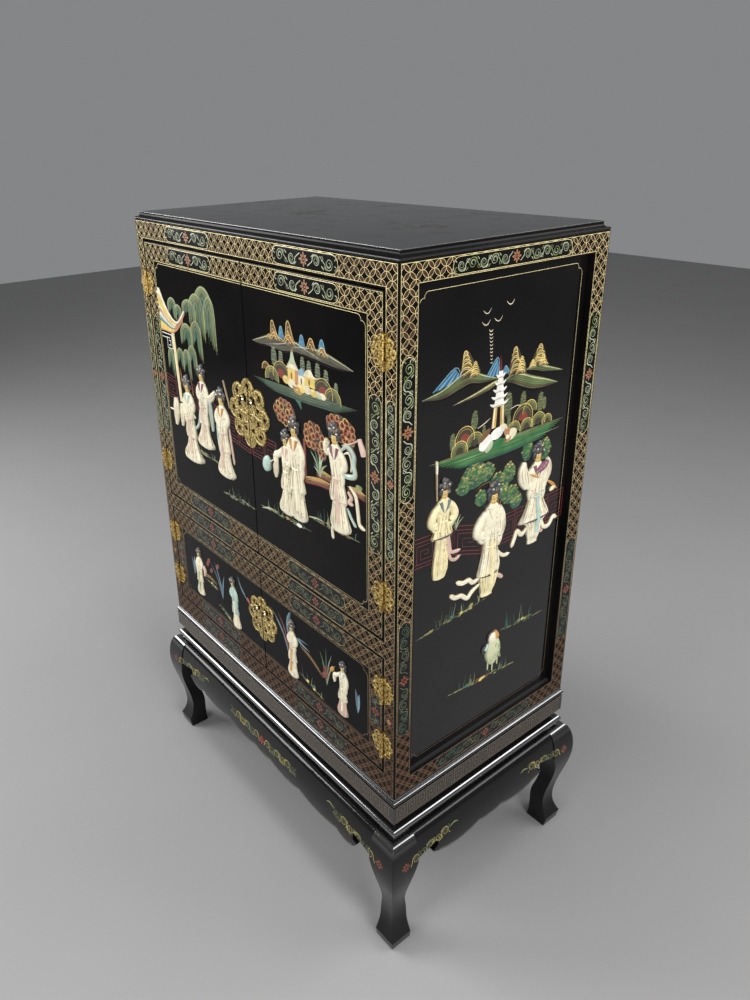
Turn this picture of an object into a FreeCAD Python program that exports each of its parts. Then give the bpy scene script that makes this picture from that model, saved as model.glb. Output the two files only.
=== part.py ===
import FreeCAD, Part
import math
import os

# Lacquered cabinet on a stand with cabriole legs. Millimetres, +Z up, the doors face -Y.
# The origin is on the floor, under the middle of the cabinet.

# Carcass
CARCASS_WIDTH = 740.0
CARCASS_DEPTH = 434.0
CARCASS_HEIGHT = 860.0
POST_WIDTH = 27.0
POST_DEPTH = 35.0
POST_EDGE_RADIUS = 1.5
RAIL_THICKNESS = 22.0
TOP_RAIL_HEIGHT = 36.0
MIDDLE_RAIL_HEIGHT = 32.0
BOTTOM_RAIL_HEIGHT = 40.0
MIDDLE_RAIL_TOP = 296.0
SIDE_RAIL_THICKNESS = 24.0
SIDE_TOP_RAIL_HEIGHT = 32.0
SIDE_BOTTOM_RAIL_HEIGHT = 34.0

# Panels in their grooves
PANEL_RECESS = 12.0
PANEL_THICKNESS = 6.0
BACK_RECESS = 11.0
BACK_THICKNESS = 5.0
GROOVE_DEPTH = 8.0
GROOVE_CLEARANCE = 1.0

# Boards, shelf and strips inside
BOARD_THICKNESS = 18.0
BEARER_SIZE = 18.0
SHELF_HEIGHT = 264.0
SHELF_SETBACK = 10.0
SHELF_CLEARANCE = 1.0
STOP_END_GAP = 43.0
STOP_THICKNESS = 12.0
STOP_DROP = 14.0
STOP_HOLD = 14.0
STOP_CLEARANCE = 0.3

# Top board and its moulded edge
TOP_THICKNESS = 13.0
TOP_BEAD_RADIUS = 2.0
TOP_SET_IN = 8.0
TOP_EDGE = 1.5

# Doors
DOOR_SIDE_GAP = 1.5
DOOR_TOP_GAP = 2.5
DOOR_BOTTOM_GAP = 1.5
MEETING_GAP = 1.6
DOOR_EDGE_RADIUS = 1.2

# Hinges, as round pierced plates with a knuckle between their halves
HINGE_RADIUS = 25.0
HINGE_LENGTH = 50.0
UPPER_HINGE_INSET = 78.0
LOWER_HINGE_INSET = 57.0
LEAF_THICKNESS = 1.5
KNUCKLE_RADIUS = 3.2
KNUCKLE_GAP = 0.4
PIN_RADIUS = 1.5
PIN_CLEARANCE = 0.05
PIN_HEAD_RADIUS = 2.6
PIN_HEAD_THICKNESS = 1.6
PLATE_LOBES = 8
PLATE_CORE_SHARE = 0.84
PLATE_LOBE_SHARE = 0.3
PLATE_HOLE_SHARE = 0.075
PLATE_HOLE_PLACE_SHARES = (0.5, 0.78)

# Lock plates, split on the meeting line
UPPER_LOCK_RADIUS = 62.0
UPPER_LOCK_RISE = 270.0
LOWER_LOCK_RADIUS = 48.5
LOWER_LOCK_RISE = 114.0
LOCK_THICKNESS = 1.5
LOCK_WINDOW_WIDTH = 15.0
LOCK_WINDOW_HEIGHT = 12.0
LOCK_WINDOW_RISE_SHARE = 0.3
LOCK_WINDOW_INSET = 5.0
STAPLE_WIDTH = 5.0
STAPLE_HEIGHT = 8.0
STAPLE_REACH = 10.0
STAPLE_EYE_RADIUS = 2.0

# Base moulding under the carcass, outwards from the carcass faces
BASE_HEIGHT = 68.0
BASE_DEPTH = 46.0
COVE_HEIGHT = 18.0
COVE_SET_IN = 12.0
COVE_SAG_SHARE = 0.24
BAND_HEIGHT = 34.0
BAND_PROUD = 3.0
BASE_BEAD_RADIUS = 4.0
BASE_QUIRK = 2.0

# Stand rails, outwards from the carcass faces
STAND_RAIL_HEIGHT = 19.0
STAND_RAIL_DEPTH = 60.0
NOSE_RADIUS = 6.5
NOSE_SET_IN = 1.5

# Legs: reach is outwards from the carcass faces, set-in is inwards
LEG_HEIGHT = 243.0
KNEE_HEIGHT = 188.0
CALF_HEIGHT = 118.0
ANKLE_HEIGHT = 60.0
TOE_HEIGHT = 18.0
SHOULDER_REACH = 8.0
KNEE_REACH = 25.5
ANKLE_REACH = 4.5
TOE_REACH = 16.5
FOOT_REACH = 13.0
LEG_BLOCK_SET_IN = 34.0
CALF_SET_IN = 17.0
ANKLE_SET_IN = 27.0
FOOT_SET_IN = 29.0
CURVE_STEPS = 6

# Aprons, with drops down from the top of the legs
APRON_STEP = 2.0
APRON_SET_IN = 5.0
APRON_LOBE_DROP = 77.0
APRON_CUSP_DROP = 68.0
APRON_CENTRE_DROP = 73.0
APRON_END_DROP = 49.0
HOOK_INSET = 42.0
HOOK_DROP = 47.0
HOOK_RADIUS = 8.0
HOOK_LIP = 4.0
CUSP_SHARES = {"long": (0.72, 0.38, 0.08), "short": (0.16,)}

# Carved figures: places are along the door or panel and up from its foot to the hem
FIGURE_RELIEF = 6.0
HEAD_SHARE = 0.075
HEAD_RISE_SHARE = 0.87
HAIR_SHARE = 0.055
HAIR_RISE_SHARE = 0.945
ROBE_SHARES = ((-0.5, 0.0), (-0.4, 0.07), (-0.24, 0.34), (-0.32, 0.55), (-0.36, 0.7), (-0.16, 0.82),
               (0.16, 0.82), (0.36, 0.7), (0.32, 0.55), (0.24, 0.34), (0.4, 0.07), (0.5, 0.0))
UPPER_FIGURE_HEIGHT = 170.0
UPPER_FIGURE_WIDTH = 62.0
UPPER_LEFT_FIGURE_SHARES = ((0.665, 0.208), (0.455, 0.295), (0.265, 0.225))
UPPER_RIGHT_FIGURE_SHARES = ((0.28, 0.225), (0.4, 0.245), (0.7, 0.26))
LOWER_FIGURE_HEIGHT = 122.0
LOWER_FIGURE_WIDTH = 40.0
LOWER_LEFT_FIGURE_SHARES = ((0.7, 0.19), (0.29, 0.17))
LOWER_RIGHT_FIGURE_SHARES = ((0.28, 0.17), (0.705, 0.19))
SIDE_FIGURE_HEIGHT = 176.0
SIDE_FIGURE_WIDTH = 62.0
SIDE_FIGURE_SHARES = ((-0.335, 0.43), (-0.03, 0.35), (0.25, 0.42))
CENSER_RADIUS = 24.0
CENSER_SHARES = (0.06, 0.195)

# Overrun of every cut past the piece that it cuts
OVERRUN = 5.0

V = FreeCAD.Vector
HALF_WIDTH = CARCASS_WIDTH / 2
HALF_DEPTH = CARCASS_DEPTH / 2
STAND_TOP = LEG_HEIGHT + STAND_RAIL_HEIGHT
CARCASS_BOTTOM = STAND_TOP + BASE_HEIGHT
CARCASS_TOP = CARCASS_BOTTOM + CARCASS_HEIGHT
POST_INNER = HALF_WIDTH - POST_WIDTH
POST_BACK = HALF_DEPTH - POST_DEPTH
RAIL_BACK = HALF_DEPTH - RAIL_THICKNESS
MIDDLE_TOP = CARCASS_BOTTOM + MIDDLE_RAIL_TOP
MIDDLE_BOTTOM = MIDDLE_TOP - MIDDLE_RAIL_HEIGHT
TOP_RAIL_BOTTOM = CARCASS_TOP - TOP_RAIL_HEIGHT
BOTTOM_RAIL_TOP = CARCASS_BOTTOM + BOTTOM_RAIL_HEIGHT
PANEL_OUTER = HALF_WIDTH - PANEL_RECESS
PANEL_INNER = PANEL_OUTER - PANEL_THICKNESS
PANEL_BOTTOM = CARCASS_BOTTOM + SIDE_BOTTOM_RAIL_HEIGHT
PANEL_TOP = CARCASS_TOP - SIDE_TOP_RAIL_HEIGHT
BACK_OUTER = HALF_DEPTH - BACK_RECESS
BACK_INNER = BACK_OUTER - BACK_THICKNESS
DOOR_THICKNESS = RAIL_THICKNESS - STOP_CLEARANCE
DOOR_OUTER = POST_INNER - DOOR_SIDE_GAP
DOOR_INNER = MEETING_GAP / 2
DOOR_SPANS = {"upper": (MIDDLE_TOP + DOOR_BOTTOM_GAP, TOP_RAIL_BOTTOM - DOOR_TOP_GAP),
              "lower": (BOTTOM_RAIL_TOP + DOOR_BOTTOM_GAP, MIDDLE_BOTTOM - DOOR_BOTTOM_GAP)}
AXIS_X = POST_INNER - DOOR_SIDE_GAP / 2
AXIS_Y = -HALF_DEPTH - KNUCKLE_RADIUS - KNUCKLE_GAP
HINGE_INSETS = {"upper": UPPER_HINGE_INSET, "lower": LOWER_HINGE_INSET}


def box(x_span, y_span, z_span):
    size = (x_span[1] - x_span[0], y_span[1] - y_span[0], z_span[1] - z_span[0])
    return Part.makeBox(*size, V(x_span[0], y_span[0], z_span[0]))


def mirror_x(shape):
    return shape.mirror(V(0, 0, 0), V(1, 0, 0))


def mirror_y(shape):
    return shape.mirror(V(0, 0, 0), V(0, 1, 0))


def moved(shape, x, y, z):
    copy = shape.copy()
    copy.translate(V(x, y, z))
    return copy


def turned(shape, degrees):
    copy = shape.copy()
    copy.rotate(V(0, 0, 0), V(0, 0, 1), degrees)
    return copy


def rounded(solid, radius, is_picked):
    """The solid with a round on each edge whose box is picked."""
    return solid.makeFillet(radius, [edge for edge in solid.Edges if is_picked(edge.BoundBox)])


def save(name, *solids):
    shape = solids[0] if len(solids) == 1 else Part.makeCompound(list(solids))
    shape.exportStep("parts/" + name + ".step")


def filled(place, steps):
    """A face from a start point and then line ends, or (middle, end) pairs for arcs; it closes by itself."""
    edges = []
    here = steps[0]
    for step in steps[1:] + steps[:1]:
        is_arc = isinstance(step[0], tuple)
        end = step[1] if is_arc else step
        if is_arc:
            edges.append(Part.Arc(place(*here), place(*step[0]), place(*end)).toShape())
        else:
            edges.append(Part.LineSegment(place(*here), place(*end)).toShape())
        here = end
    return Part.Face(Part.Wire(edges))


# A front piece is made facing -Y and turned to the other three sides.
SIDE_TURNS = {"front": 0, "right": 90, "rear": 180, "left": 270}


def save_four_sides(name, maker):
    for side, degrees in SIDE_TURNS.items():
        lies_across = side in ("front", "rear")
        along = HALF_WIDTH if lies_across else HALF_DEPTH
        across = HALF_DEPTH if lies_across else HALF_WIDTH
        save(name + "_" + side, turned(maker(along, across), degrees))


# Legs


def leg_reach(height):
    """How far the outer faces of a leg stand outside the carcass faces at a height up to the knee."""
    if height < ANKLE_HEIGHT:
        share = (ANKLE_HEIGHT - height) / (ANKLE_HEIGHT - TOE_HEIGHT)
        return ANKLE_REACH + (TOE_REACH - ANKLE_REACH) * share ** 2
    share = (height - ANKLE_HEIGHT) / (KNEE_HEIGHT - ANKLE_HEIGHT)
    return ANKLE_REACH + (KNEE_REACH - ANKLE_REACH) * (1 - math.cos(math.pi * share)) / 2


def leg_set_in(height):
    """How far the inner faces of a leg stand inside the carcass faces at a height up to the knee."""
    if height >= CALF_HEIGHT:
        share = (KNEE_HEIGHT - height) / (KNEE_HEIGHT - CALF_HEIGHT)
        return LEG_BLOCK_SET_IN + (CALF_SET_IN - LEG_BLOCK_SET_IN) * math.sin(math.pi / 2 * share)
    if height >= ANKLE_HEIGHT:
        share = (CALF_HEIGHT - height) / (CALF_HEIGHT - ANKLE_HEIGHT)
        return CALF_SET_IN + (ANKLE_SET_IN - CALF_SET_IN) * (1 - math.cos(math.pi * share)) / 2
    return ANKLE_SET_IN


def shoulder_curve():
    """Heights and reaches from the knee up to the top of the leg, on a quarter of an ellipse."""
    points = []
    for step in range(CURVE_STEPS + 1):
        angle = math.pi / 2 * step / CURVE_STEPS
        height = KNEE_HEIGHT + (LEG_HEIGHT - KNEE_HEIGHT) * math.sin(angle)
        points.append((height, SHOULDER_REACH + (KNEE_REACH - SHOULDER_REACH) * math.cos(angle)))
    return points


def leg_section(height, reach, set_in):
    x_span = (HALF_WIDTH - set_in, HALF_WIDTH + reach)
    y_span = (HALF_DEPTH - set_in, HALF_DEPTH + reach)
    corners = [V(x_span[i], y_span[j], height) for i, j in ((0, 0), (1, 0), (1, 1), (0, 1), (0, 0))]
    return Part.makePolygon(corners)


def make_leg():
    shank_heights = [TOE_HEIGHT + (KNEE_HEIGHT - TOE_HEIGHT) * step / (2 * CURVE_STEPS)
                     for step in range(2 * CURVE_STEPS + 1)]
    shank = Part.makeLoft([leg_section(h, leg_reach(h), leg_set_in(h)) for h in shank_heights], True)
    block = Part.makeLoft([leg_section(h, reach, LEG_BLOCK_SET_IN) for h, reach in shoulder_curve()], True)
    foot = Part.makeLoft([leg_section(0, FOOT_REACH, FOOT_SET_IN),
                          leg_section(TOE_HEIGHT, TOE_REACH, ANKLE_SET_IN)], True, True)
    return shank.fuse(block).fuse(foot)


def save_legs():
    rear_right = make_leg()
    rear_left = mirror_x(rear_right)
    save("leg_rear_right", rear_right)
    save("leg_rear_left", rear_left)
    save("leg_front_right", mirror_y(rear_right))
    save("leg_front_left", mirror_y(rear_left))


# Aprons


def apron_belly(half_length, across):
    """The bellied board before its lower edge is cut, in the same curve as the legs."""
    lowest = LEG_HEIGHT - APRON_LOBE_DROP - OVERRUN
    heights = [lowest + (KNEE_HEIGHT - lowest) * step / CURVE_STEPS for step in range(CURVE_STEPS)]
    outline = [(h, leg_reach(h)) for h in heights] + shoulder_curve()
    face_points = [V(-half_length, -across - reach + APRON_STEP, h) for h, reach in outline]
    curve = Part.BSplineCurve()
    curve.interpolate(face_points)
    back_low = V(-half_length, -across + APRON_SET_IN, lowest)
    back_high = V(-half_length, -across + APRON_SET_IN, LEG_HEIGHT)
    edges = [curve.toShape()]
    for start, end in ((face_points[-1], back_high), (back_high, back_low), (back_low, face_points[0])):
        edges.append(Part.LineSegment(start, end).toShape())
    return Part.Face(Part.Wire(edges)).extrude(V(2 * half_length, 0, 0))


def half_apron_edge(half_length, cusp_shares):
    """Steps of the lower edge from the right end to the middle, as places along and drops."""
    hook = half_length - HOOK_INSET
    tip_drop = HOOK_DROP + HOOK_RADIUS + HOOK_LIP
    steps = [(half_length, APRON_END_DROP),
             (hook, HOOK_DROP - HOOK_RADIUS),
             ((hook - HOOK_RADIUS, HOOK_DROP), (hook, HOOK_DROP + HOOK_RADIUS)),
             (hook + HOOK_LIP, tip_drop)]
    here = hook + HOOK_LIP
    for share in cusp_shares:
        cusp = half_length * share
        steps.append((((here + cusp) / 2, APRON_LOBE_DROP), (cusp, APRON_CUSP_DROP)))
        here = cusp
    return steps


def mirrored_steps(steps):
    """The same edge on the left half, run from the middle to the left end."""
    points = [step[1] if isinstance(step[0], tuple) else step for step in steps]
    result = []
    for index in range(len(steps) - 1, 0, -1):
        end = (-points[index - 1][0], points[index - 1][1])
        if isinstance(steps[index][0], tuple):
            middle = steps[index][0]
            result.append(((-middle[0], middle[1]), end))
        else:
            result.append(end)
    return result


def make_apron(along, across):
    half_length = along - LEG_BLOCK_SET_IN
    cusp_shares = CUSP_SHARES["long" if along > across else "short"]
    right = half_apron_edge(half_length, cusp_shares)
    last_cusp = half_length * cusp_shares[-1]
    centre = [((0, APRON_CENTRE_DROP), (-last_cusp, APRON_CUSP_DROP))]
    steps = [(half_length, -OVERRUN)] + right + centre + mirrored_steps(right) + [(-half_length, -OVERRUN)]
    front = -across - KNEE_REACH - OVERRUN
    template = filled(lambda x, drop: V(x, front, LEG_HEIGHT - drop), steps)
    return apron_belly(half_length, across).common(template.extrude(V(0, -front, 0)))


# Mouldings with mitred ends


def mitred(profile, along, across, inner, outer, z_span):
    """A length of moulding along the front, from its section, with both ends cut at 45 degrees."""
    reach = along + outer
    bar = profile(-reach).extrude(V(2 * reach, 0, 0))
    corners = [(reach, -across - outer), (along - inner, -across + inner),
               (inner - along, -across + inner), (-reach, -across - outer)]
    plan = filled(lambda x, y: V(x, y, z_span[0]), corners)
    return bar.common(plan.extrude(V(0, 0, z_span[1] - z_span[0])))


def make_stand_rail(along, across):
    nose_low = STAND_RAIL_HEIGHT - 2 * NOSE_RADIUS
    steps = [(-STAND_RAIL_DEPTH, 0),
             (-NOSE_SET_IN, 0),
             (-NOSE_SET_IN, nose_low),
             ((NOSE_RADIUS - NOSE_SET_IN, nose_low + NOSE_RADIUS), (-NOSE_SET_IN, STAND_RAIL_HEIGHT)),
             (-STAND_RAIL_DEPTH, STAND_RAIL_HEIGHT)]

    def profile(x):
        return filled(lambda reach, rise: V(x, -across - reach, LEG_HEIGHT + rise), steps)

    return mitred(profile, along, across, STAND_RAIL_DEPTH, NOSE_RADIUS, (LEG_HEIGHT, STAND_TOP))


def make_base_moulding(along, across):
    band_top = COVE_HEIGHT + BAND_HEIGHT
    bead_low = band_top + BASE_QUIRK
    sag = COVE_SAG_SHARE * COVE_HEIGHT
    cove_middle = ((BAND_PROUD - COVE_SET_IN) / 2 - sag, COVE_HEIGHT / 2 + sag)
    steps = [(-BASE_DEPTH, 0),
             (-COVE_SET_IN, 0),
             (cove_middle, (BAND_PROUD, COVE_HEIGHT)),
             (BAND_PROUD, band_top),
             (0, band_top),
             (0, bead_low),
             ((BASE_BEAD_RADIUS, bead_low + BASE_BEAD_RADIUS), (0, bead_low + 2 * BASE_BEAD_RADIUS)),
             (0, BASE_HEIGHT),
             (-BASE_DEPTH, BASE_HEIGHT)]

    def profile(x):
        return filled(lambda reach, rise: V(x, -across - reach, STAND_TOP + rise), steps)

    return mitred(profile, along, across, BASE_DEPTH, BASE_BEAD_RADIUS, (STAND_TOP, CARCASS_BOTTOM))


def make_top_board():
    """The board is where a moulded slab along X and one along Y overlap, which mitres its edge."""
    cove_top = TOP_THICKNESS - TOP_EDGE
    bead_top = 2 * TOP_BEAD_RADIUS
    sag = COVE_SAG_SHARE * (cove_top - bead_top)
    cove_middle = ((-TOP_SET_IN - TOP_BEAD_RADIUS) / 2 - sag, (cove_top + bead_top) / 2 - sag)
    right = [(-TOP_BEAD_RADIUS, 0),
             ((0, TOP_BEAD_RADIUS), (-TOP_BEAD_RADIUS, bead_top)),
             (cove_middle, (-TOP_SET_IN, cove_top)),
             (-TOP_SET_IN, TOP_THICKNESS)]

    def slab(half, place, run):
        def at(step, sign):
            if isinstance(step[0], tuple):
                return tuple(at(point, sign) for point in step)
            return (sign * (half + step[0]), step[1])

        steps = [at(step, 1) for step in right] + [(at(right[-1], -1))]
        points = [step[1] if isinstance(step[0], tuple) else step for step in right]
        for index in range(len(right) - 1, 0, -1):
            end = at(points[index - 1], -1)
            is_arc = isinstance(right[index][0], tuple)
            steps.append((at(right[index][0], -1), end) if is_arc else end)
        return filled(place, steps).extrude(run)

    along_x = slab(HALF_DEPTH, lambda y, rise: V(-HALF_WIDTH, y, CARCASS_TOP + rise), V(CARCASS_WIDTH, 0, 0))
    along_y = slab(HALF_WIDTH, lambda x, rise: V(x, -HALF_DEPTH, CARCASS_TOP + rise), V(0, CARCASS_DEPTH, 0))
    return along_x.common(along_y)


# Carcass frame


def save_posts():
    z_span = (CARCASS_BOTTOM, CARCASS_TOP)
    groove_z = (PANEL_BOTTOM - GROOVE_DEPTH, PANEL_TOP + GROOVE_DEPTH)
    square = box((POST_INNER, HALF_WIDTH), (POST_BACK, HALF_DEPTH), z_span)
    post = rounded(square, POST_EDGE_RADIUS, lambda b: b.XMin > POST_INNER + POST_EDGE_RADIUS
                   and b.YMin > POST_BACK + POST_EDGE_RADIUS)
    groove = box((PANEL_INNER, PANEL_OUTER), (POST_BACK - OVERRUN, POST_BACK + GROOVE_DEPTH), groove_z)
    grooved = post.cut(groove)
    front_right = mirror_y(grooved)
    back_z = (BOTTOM_RAIL_TOP - GROOVE_DEPTH, TOP_RAIL_BOTTOM + GROOVE_DEPTH)
    back_groove = box((POST_INNER - OVERRUN, POST_INNER + GROOVE_DEPTH), (BACK_INNER, BACK_OUTER), back_z)
    rear_right = grooved.cut(back_groove)
    save("front_post_right", front_right)
    save("front_post_left", mirror_x(front_right))
    save("rear_post_right", rear_right)
    save("rear_post_left", mirror_x(rear_right))


def save_rails():
    x_span = (-POST_INNER, POST_INNER)
    front = (-HALF_DEPTH, -RAIL_BACK)
    rear = (RAIL_BACK, HALF_DEPTH)
    top = (TOP_RAIL_BOTTOM, CARCASS_TOP)
    bottom = (CARCASS_BOTTOM, BOTTOM_RAIL_TOP)
    save("front_top_rail", box(x_span, front, top))
    save("front_middle_rail", box(x_span, front, (MIDDLE_BOTTOM, MIDDLE_TOP)))
    save("front_bottom_rail", box(x_span, front, bottom))
    groove_z = (BOTTOM_RAIL_TOP - GROOVE_DEPTH, TOP_RAIL_BOTTOM + GROOVE_DEPTH)
    groove = box(x_span, (BACK_INNER, BACK_OUTER), groove_z)
    save("rear_top_rail", box(x_span, rear, top).cut(groove))
    save("rear_bottom_rail", box(x_span, rear, bottom).cut(groove))


def save_side_rails():
    x_span = (HALF_WIDTH - SIDE_RAIL_THICKNESS, HALF_WIDTH)
    y_span = (-POST_BACK, POST_BACK)
    groove_z = (PANEL_BOTTOM - GROOVE_DEPTH, PANEL_TOP + GROOVE_DEPTH)
    groove = box((PANEL_INNER, PANEL_OUTER), y_span, groove_z)
    top = box(x_span, y_span, (PANEL_TOP, CARCASS_TOP)).cut(groove)
    bottom = box(x_span, y_span, (CARCASS_BOTTOM, PANEL_BOTTOM)).cut(groove)
    save("side_top_rails", top, mirror_x(top))
    save("side_bottom_rails", bottom, mirror_x(bottom))


def save_panels():
    hold = GROOVE_DEPTH - GROOVE_CLEARANCE
    side = box((PANEL_INNER, PANEL_OUTER), (-POST_BACK - hold, POST_BACK + hold),
               (PANEL_BOTTOM - hold, PANEL_TOP + hold))
    save("side_panel_right", side)
    save("side_panel_left", mirror_x(side))
    save("back_panel", box((-POST_INNER - hold, POST_INNER + hold), (BACK_INNER, BACK_OUTER),
                           (BOTTOM_RAIL_TOP - hold, TOP_RAIL_BOTTOM + hold)))


def save_boards():
    side_inner = HALF_WIDTH - SIDE_RAIL_THICKNESS
    bottom = box((-side_inner, side_inner), (-RAIL_BACK, RAIL_BACK),
                 (BOTTOM_RAIL_TOP - BOARD_THICKNESS, BOTTOM_RAIL_TOP))
    notch = box((POST_INNER, HALF_WIDTH), (POST_BACK, HALF_DEPTH), (CARCASS_BOTTOM, CARCASS_TOP))
    for corner in (notch, mirror_x(notch), mirror_y(notch), mirror_x(mirror_y(notch))):
        bottom = bottom.cut(corner)
    save("bottom_board", bottom)
    middle_low = MIDDLE_TOP - BOARD_THICKNESS
    save("middle_board", box((-POST_INNER, POST_INNER), (-RAIL_BACK, BACK_INNER), (middle_low, MIDDLE_TOP)))
    shelf_top = MIDDLE_TOP + SHELF_HEIGHT
    shelf_low = shelf_top - BOARD_THICKNESS
    shelf_half = POST_INNER - SHELF_CLEARANCE
    save("shelf", box((-shelf_half, shelf_half), (SHELF_SETBACK - RAIL_BACK, BACK_INNER - SHELF_CLEARANCE),
                      (shelf_low, shelf_top)))
    bearers = []
    for top in (middle_low, shelf_low):
        bearer = box((POST_INNER - BEARER_SIZE, POST_INNER), (-RAIL_BACK, RAIL_BACK),
                     (top - BEARER_SIZE, top))
        bearers += [bearer, mirror_x(bearer)]
    save("shelf_bearers", *bearers)


def save_door_stops():
    half = POST_INNER - STOP_END_GAP
    y_span = (-RAIL_BACK, STOP_THICKNESS - RAIL_BACK)
    stops = [box((-half, half), y_span, (low - STOP_DROP, low + STOP_HOLD))
             for low in (MIDDLE_BOTTOM, TOP_RAIL_BOTTOM)]
    save("door_stops", *stops)


# Pierced brass plates


def disc(radius, thickness, x, z):
    return Part.makeCylinder(radius, thickness, V(x, -HALF_DEPTH, z), V(0, -1, 0))


def rosette(radius, thickness):
    """A lobed round plate on the front plane about the axis x = 0, z = 0, with two rings of holes."""
    plate = disc(radius * PLATE_CORE_SHARE, thickness, 0, 0)
    lobe = radius * PLATE_LOBE_SHARE
    for index in range(PLATE_LOBES):
        angle = 2 * math.pi * index / PLATE_LOBES
        place = radius - lobe
        plate = plate.fuse(disc(lobe, thickness, place * math.cos(angle), place * math.sin(angle)))
    plate = plate.removeSplitter()
    holes = []
    for ring, share in enumerate(PLATE_HOLE_PLACE_SHARES):
        for index in range(PLATE_LOBES):
            angle = 2 * math.pi * (index + (ring + 1) / 2) / PLATE_LOBES
            x, z = (radius * share * math.cos(angle), radius * share * math.sin(angle))
            holes.append(disc(radius * PLATE_HOLE_SHARE, thickness, x, z))
    return plate.cut(holes)


def knuckle(z_span):
    """A barrel on the hinge axis, with its bore still closed, and the tongue that joins it to a leaf."""
    length = z_span[1] - z_span[0]
    barrel = Part.makeCylinder(KNUCKLE_RADIUS, length, V(0, AXIS_Y, z_span[0]))
    tongue = box((0, KNUCKLE_RADIUS + OVERRUN), (-HALF_DEPTH - LEAF_THICKNESS, -HALF_DEPTH), z_span)
    return barrel.fuse(tongue)


def make_hinge():
    """Frame leaf, door leaf and pin of a right-hand hinge, about x = 0 and z = 0."""
    half = HINGE_LENGTH / 2
    middle = half / 2
    keep = box((KNUCKLE_RADIUS + KNUCKLE_GAP, HINGE_RADIUS), (AXIS_Y, 0), (-HINGE_RADIUS, HINGE_RADIUS))
    half_plate = rosette(HINGE_RADIUS, LEAF_THICKNESS).common(keep)
    bore = Part.makeCylinder(PIN_RADIUS + PIN_CLEARANCE, HINGE_LENGTH, V(0, AXIS_Y, -half))
    frame_leaf = half_plate.fuse(knuckle((middle, half))).fuse(knuckle((-half, -middle))).cut(bore)
    door_leaf = half_plate.fuse(knuckle((KNUCKLE_GAP - middle, middle - KNUCKLE_GAP))).cut(bore)
    pin = Part.makeCylinder(PIN_RADIUS, HINGE_LENGTH, V(0, AXIS_Y, -half))
    for low in (half, -half - PIN_HEAD_THICKNESS):
        pin = pin.fuse(Part.makeCylinder(PIN_HEAD_RADIUS, PIN_HEAD_THICKNESS, V(0, AXIS_Y, low)))
    return frame_leaf, mirror_x(door_leaf), pin


def save_hinges():
    hinge = make_hinge()
    frame_leaves, pins = [], []
    for row, (low, high) in DOOR_SPANS.items():
        inset = HINGE_INSETS[row]
        placed = [[moved(piece, AXIS_X, 0, z) for piece in hinge] for z in (low + inset, high - inset)]
        for hand in ("right", "left"):
            turn = mirror_x if hand == "left" else Part.Shape.copy
            frame_leaves += [turn(pieces[0]) for pieces in placed]
            pins += [turn(pieces[2]) for pieces in placed]
            save(row + "_" + hand + "_hinge_leaves", *[turn(pieces[1]) for pieces in placed])
    save("hinge_frame_leaves", *frame_leaves)
    save("hinge_pins", *pins)


def make_lock(radius, rise):
    """The right half of a lock plate and the staple in its window."""
    keep = box((DOOR_INNER, radius), (-HALF_DEPTH - LOCK_THICKNESS, 0), (-radius, radius))
    window_low = radius * LOCK_WINDOW_RISE_SHARE
    window_x = DOOR_INNER + LOCK_WINDOW_INSET
    window = box((window_x, window_x + LOCK_WINDOW_WIDTH), (-HALF_DEPTH - LOCK_THICKNESS, 0),
                 (window_low, window_low + LOCK_WINDOW_HEIGHT))
    plate = rosette(radius, LOCK_THICKNESS).common(keep).cut(window)
    staple_x = window_x + LOCK_WINDOW_WIDTH / 2
    staple_z = window_low + LOCK_WINDOW_HEIGHT / 2
    staple = box((staple_x - STAPLE_WIDTH / 2, staple_x + STAPLE_WIDTH / 2),
                 (-HALF_DEPTH - STAPLE_REACH, -HALF_DEPTH),
                 (staple_z - STAPLE_HEIGHT / 2, staple_z + STAPLE_HEIGHT / 2))
    eye_y = 2 * STAPLE_EYE_RADIUS - HALF_DEPTH - STAPLE_REACH
    eye = Part.makeCylinder(STAPLE_EYE_RADIUS, STAPLE_WIDTH, V(staple_x - STAPLE_WIDTH / 2, eye_y, staple_z),
                            V(1, 0, 0))
    return moved(plate, 0, 0, rise), moved(staple.cut(eye), 0, 0, rise)


def save_locks():
    for row, radius, rise in (("upper", UPPER_LOCK_RADIUS, UPPER_LOCK_RISE),
                              ("lower", LOWER_LOCK_RADIUS, LOWER_LOCK_RISE)):
        plate, staple = make_lock(radius, DOOR_SPANS[row][0] + rise)
        save(row + "_right_lock_plate", plate)
        save(row + "_left_lock_plate", mirror_x(plate))
        save(row + "_right_lock_staple", staple)
        save(row + "_left_lock_staple", mirror_x(staple))


# Doors


def save_doors():
    for row, z_span in DOOR_SPANS.items():
        square = box((DOOR_INNER, DOOR_OUTER), (-HALF_DEPTH, DOOR_THICKNESS - HALF_DEPTH), z_span)
        door = rounded(square, DOOR_EDGE_RADIUS, lambda b: b.YMax < DOOR_EDGE_RADIUS - HALF_DEPTH)
        save(row + "_right_door", door)
        save(row + "_left_door", mirror_x(door))


# Carved figures, as plain standing shapes on the plane y = 0


def figure(height, width):
    outline = [(share_x * width, share_z * height) for share_x, share_z in ROBE_SHARES]
    body = filled(lambda x, z: V(x, 0, z), outline).extrude(V(0, -FIGURE_RELIEF, 0))
    for radius_share, rise_share in ((HEAD_SHARE, HEAD_RISE_SHARE), (HAIR_SHARE, HAIR_RISE_SHARE)):
        centre = V(0, 0, rise_share * height)
        body = body.fuse(Part.makeCylinder(radius_share * height, FIGURE_RELIEF, centre, V(0, -1, 0)))
    return body


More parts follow.
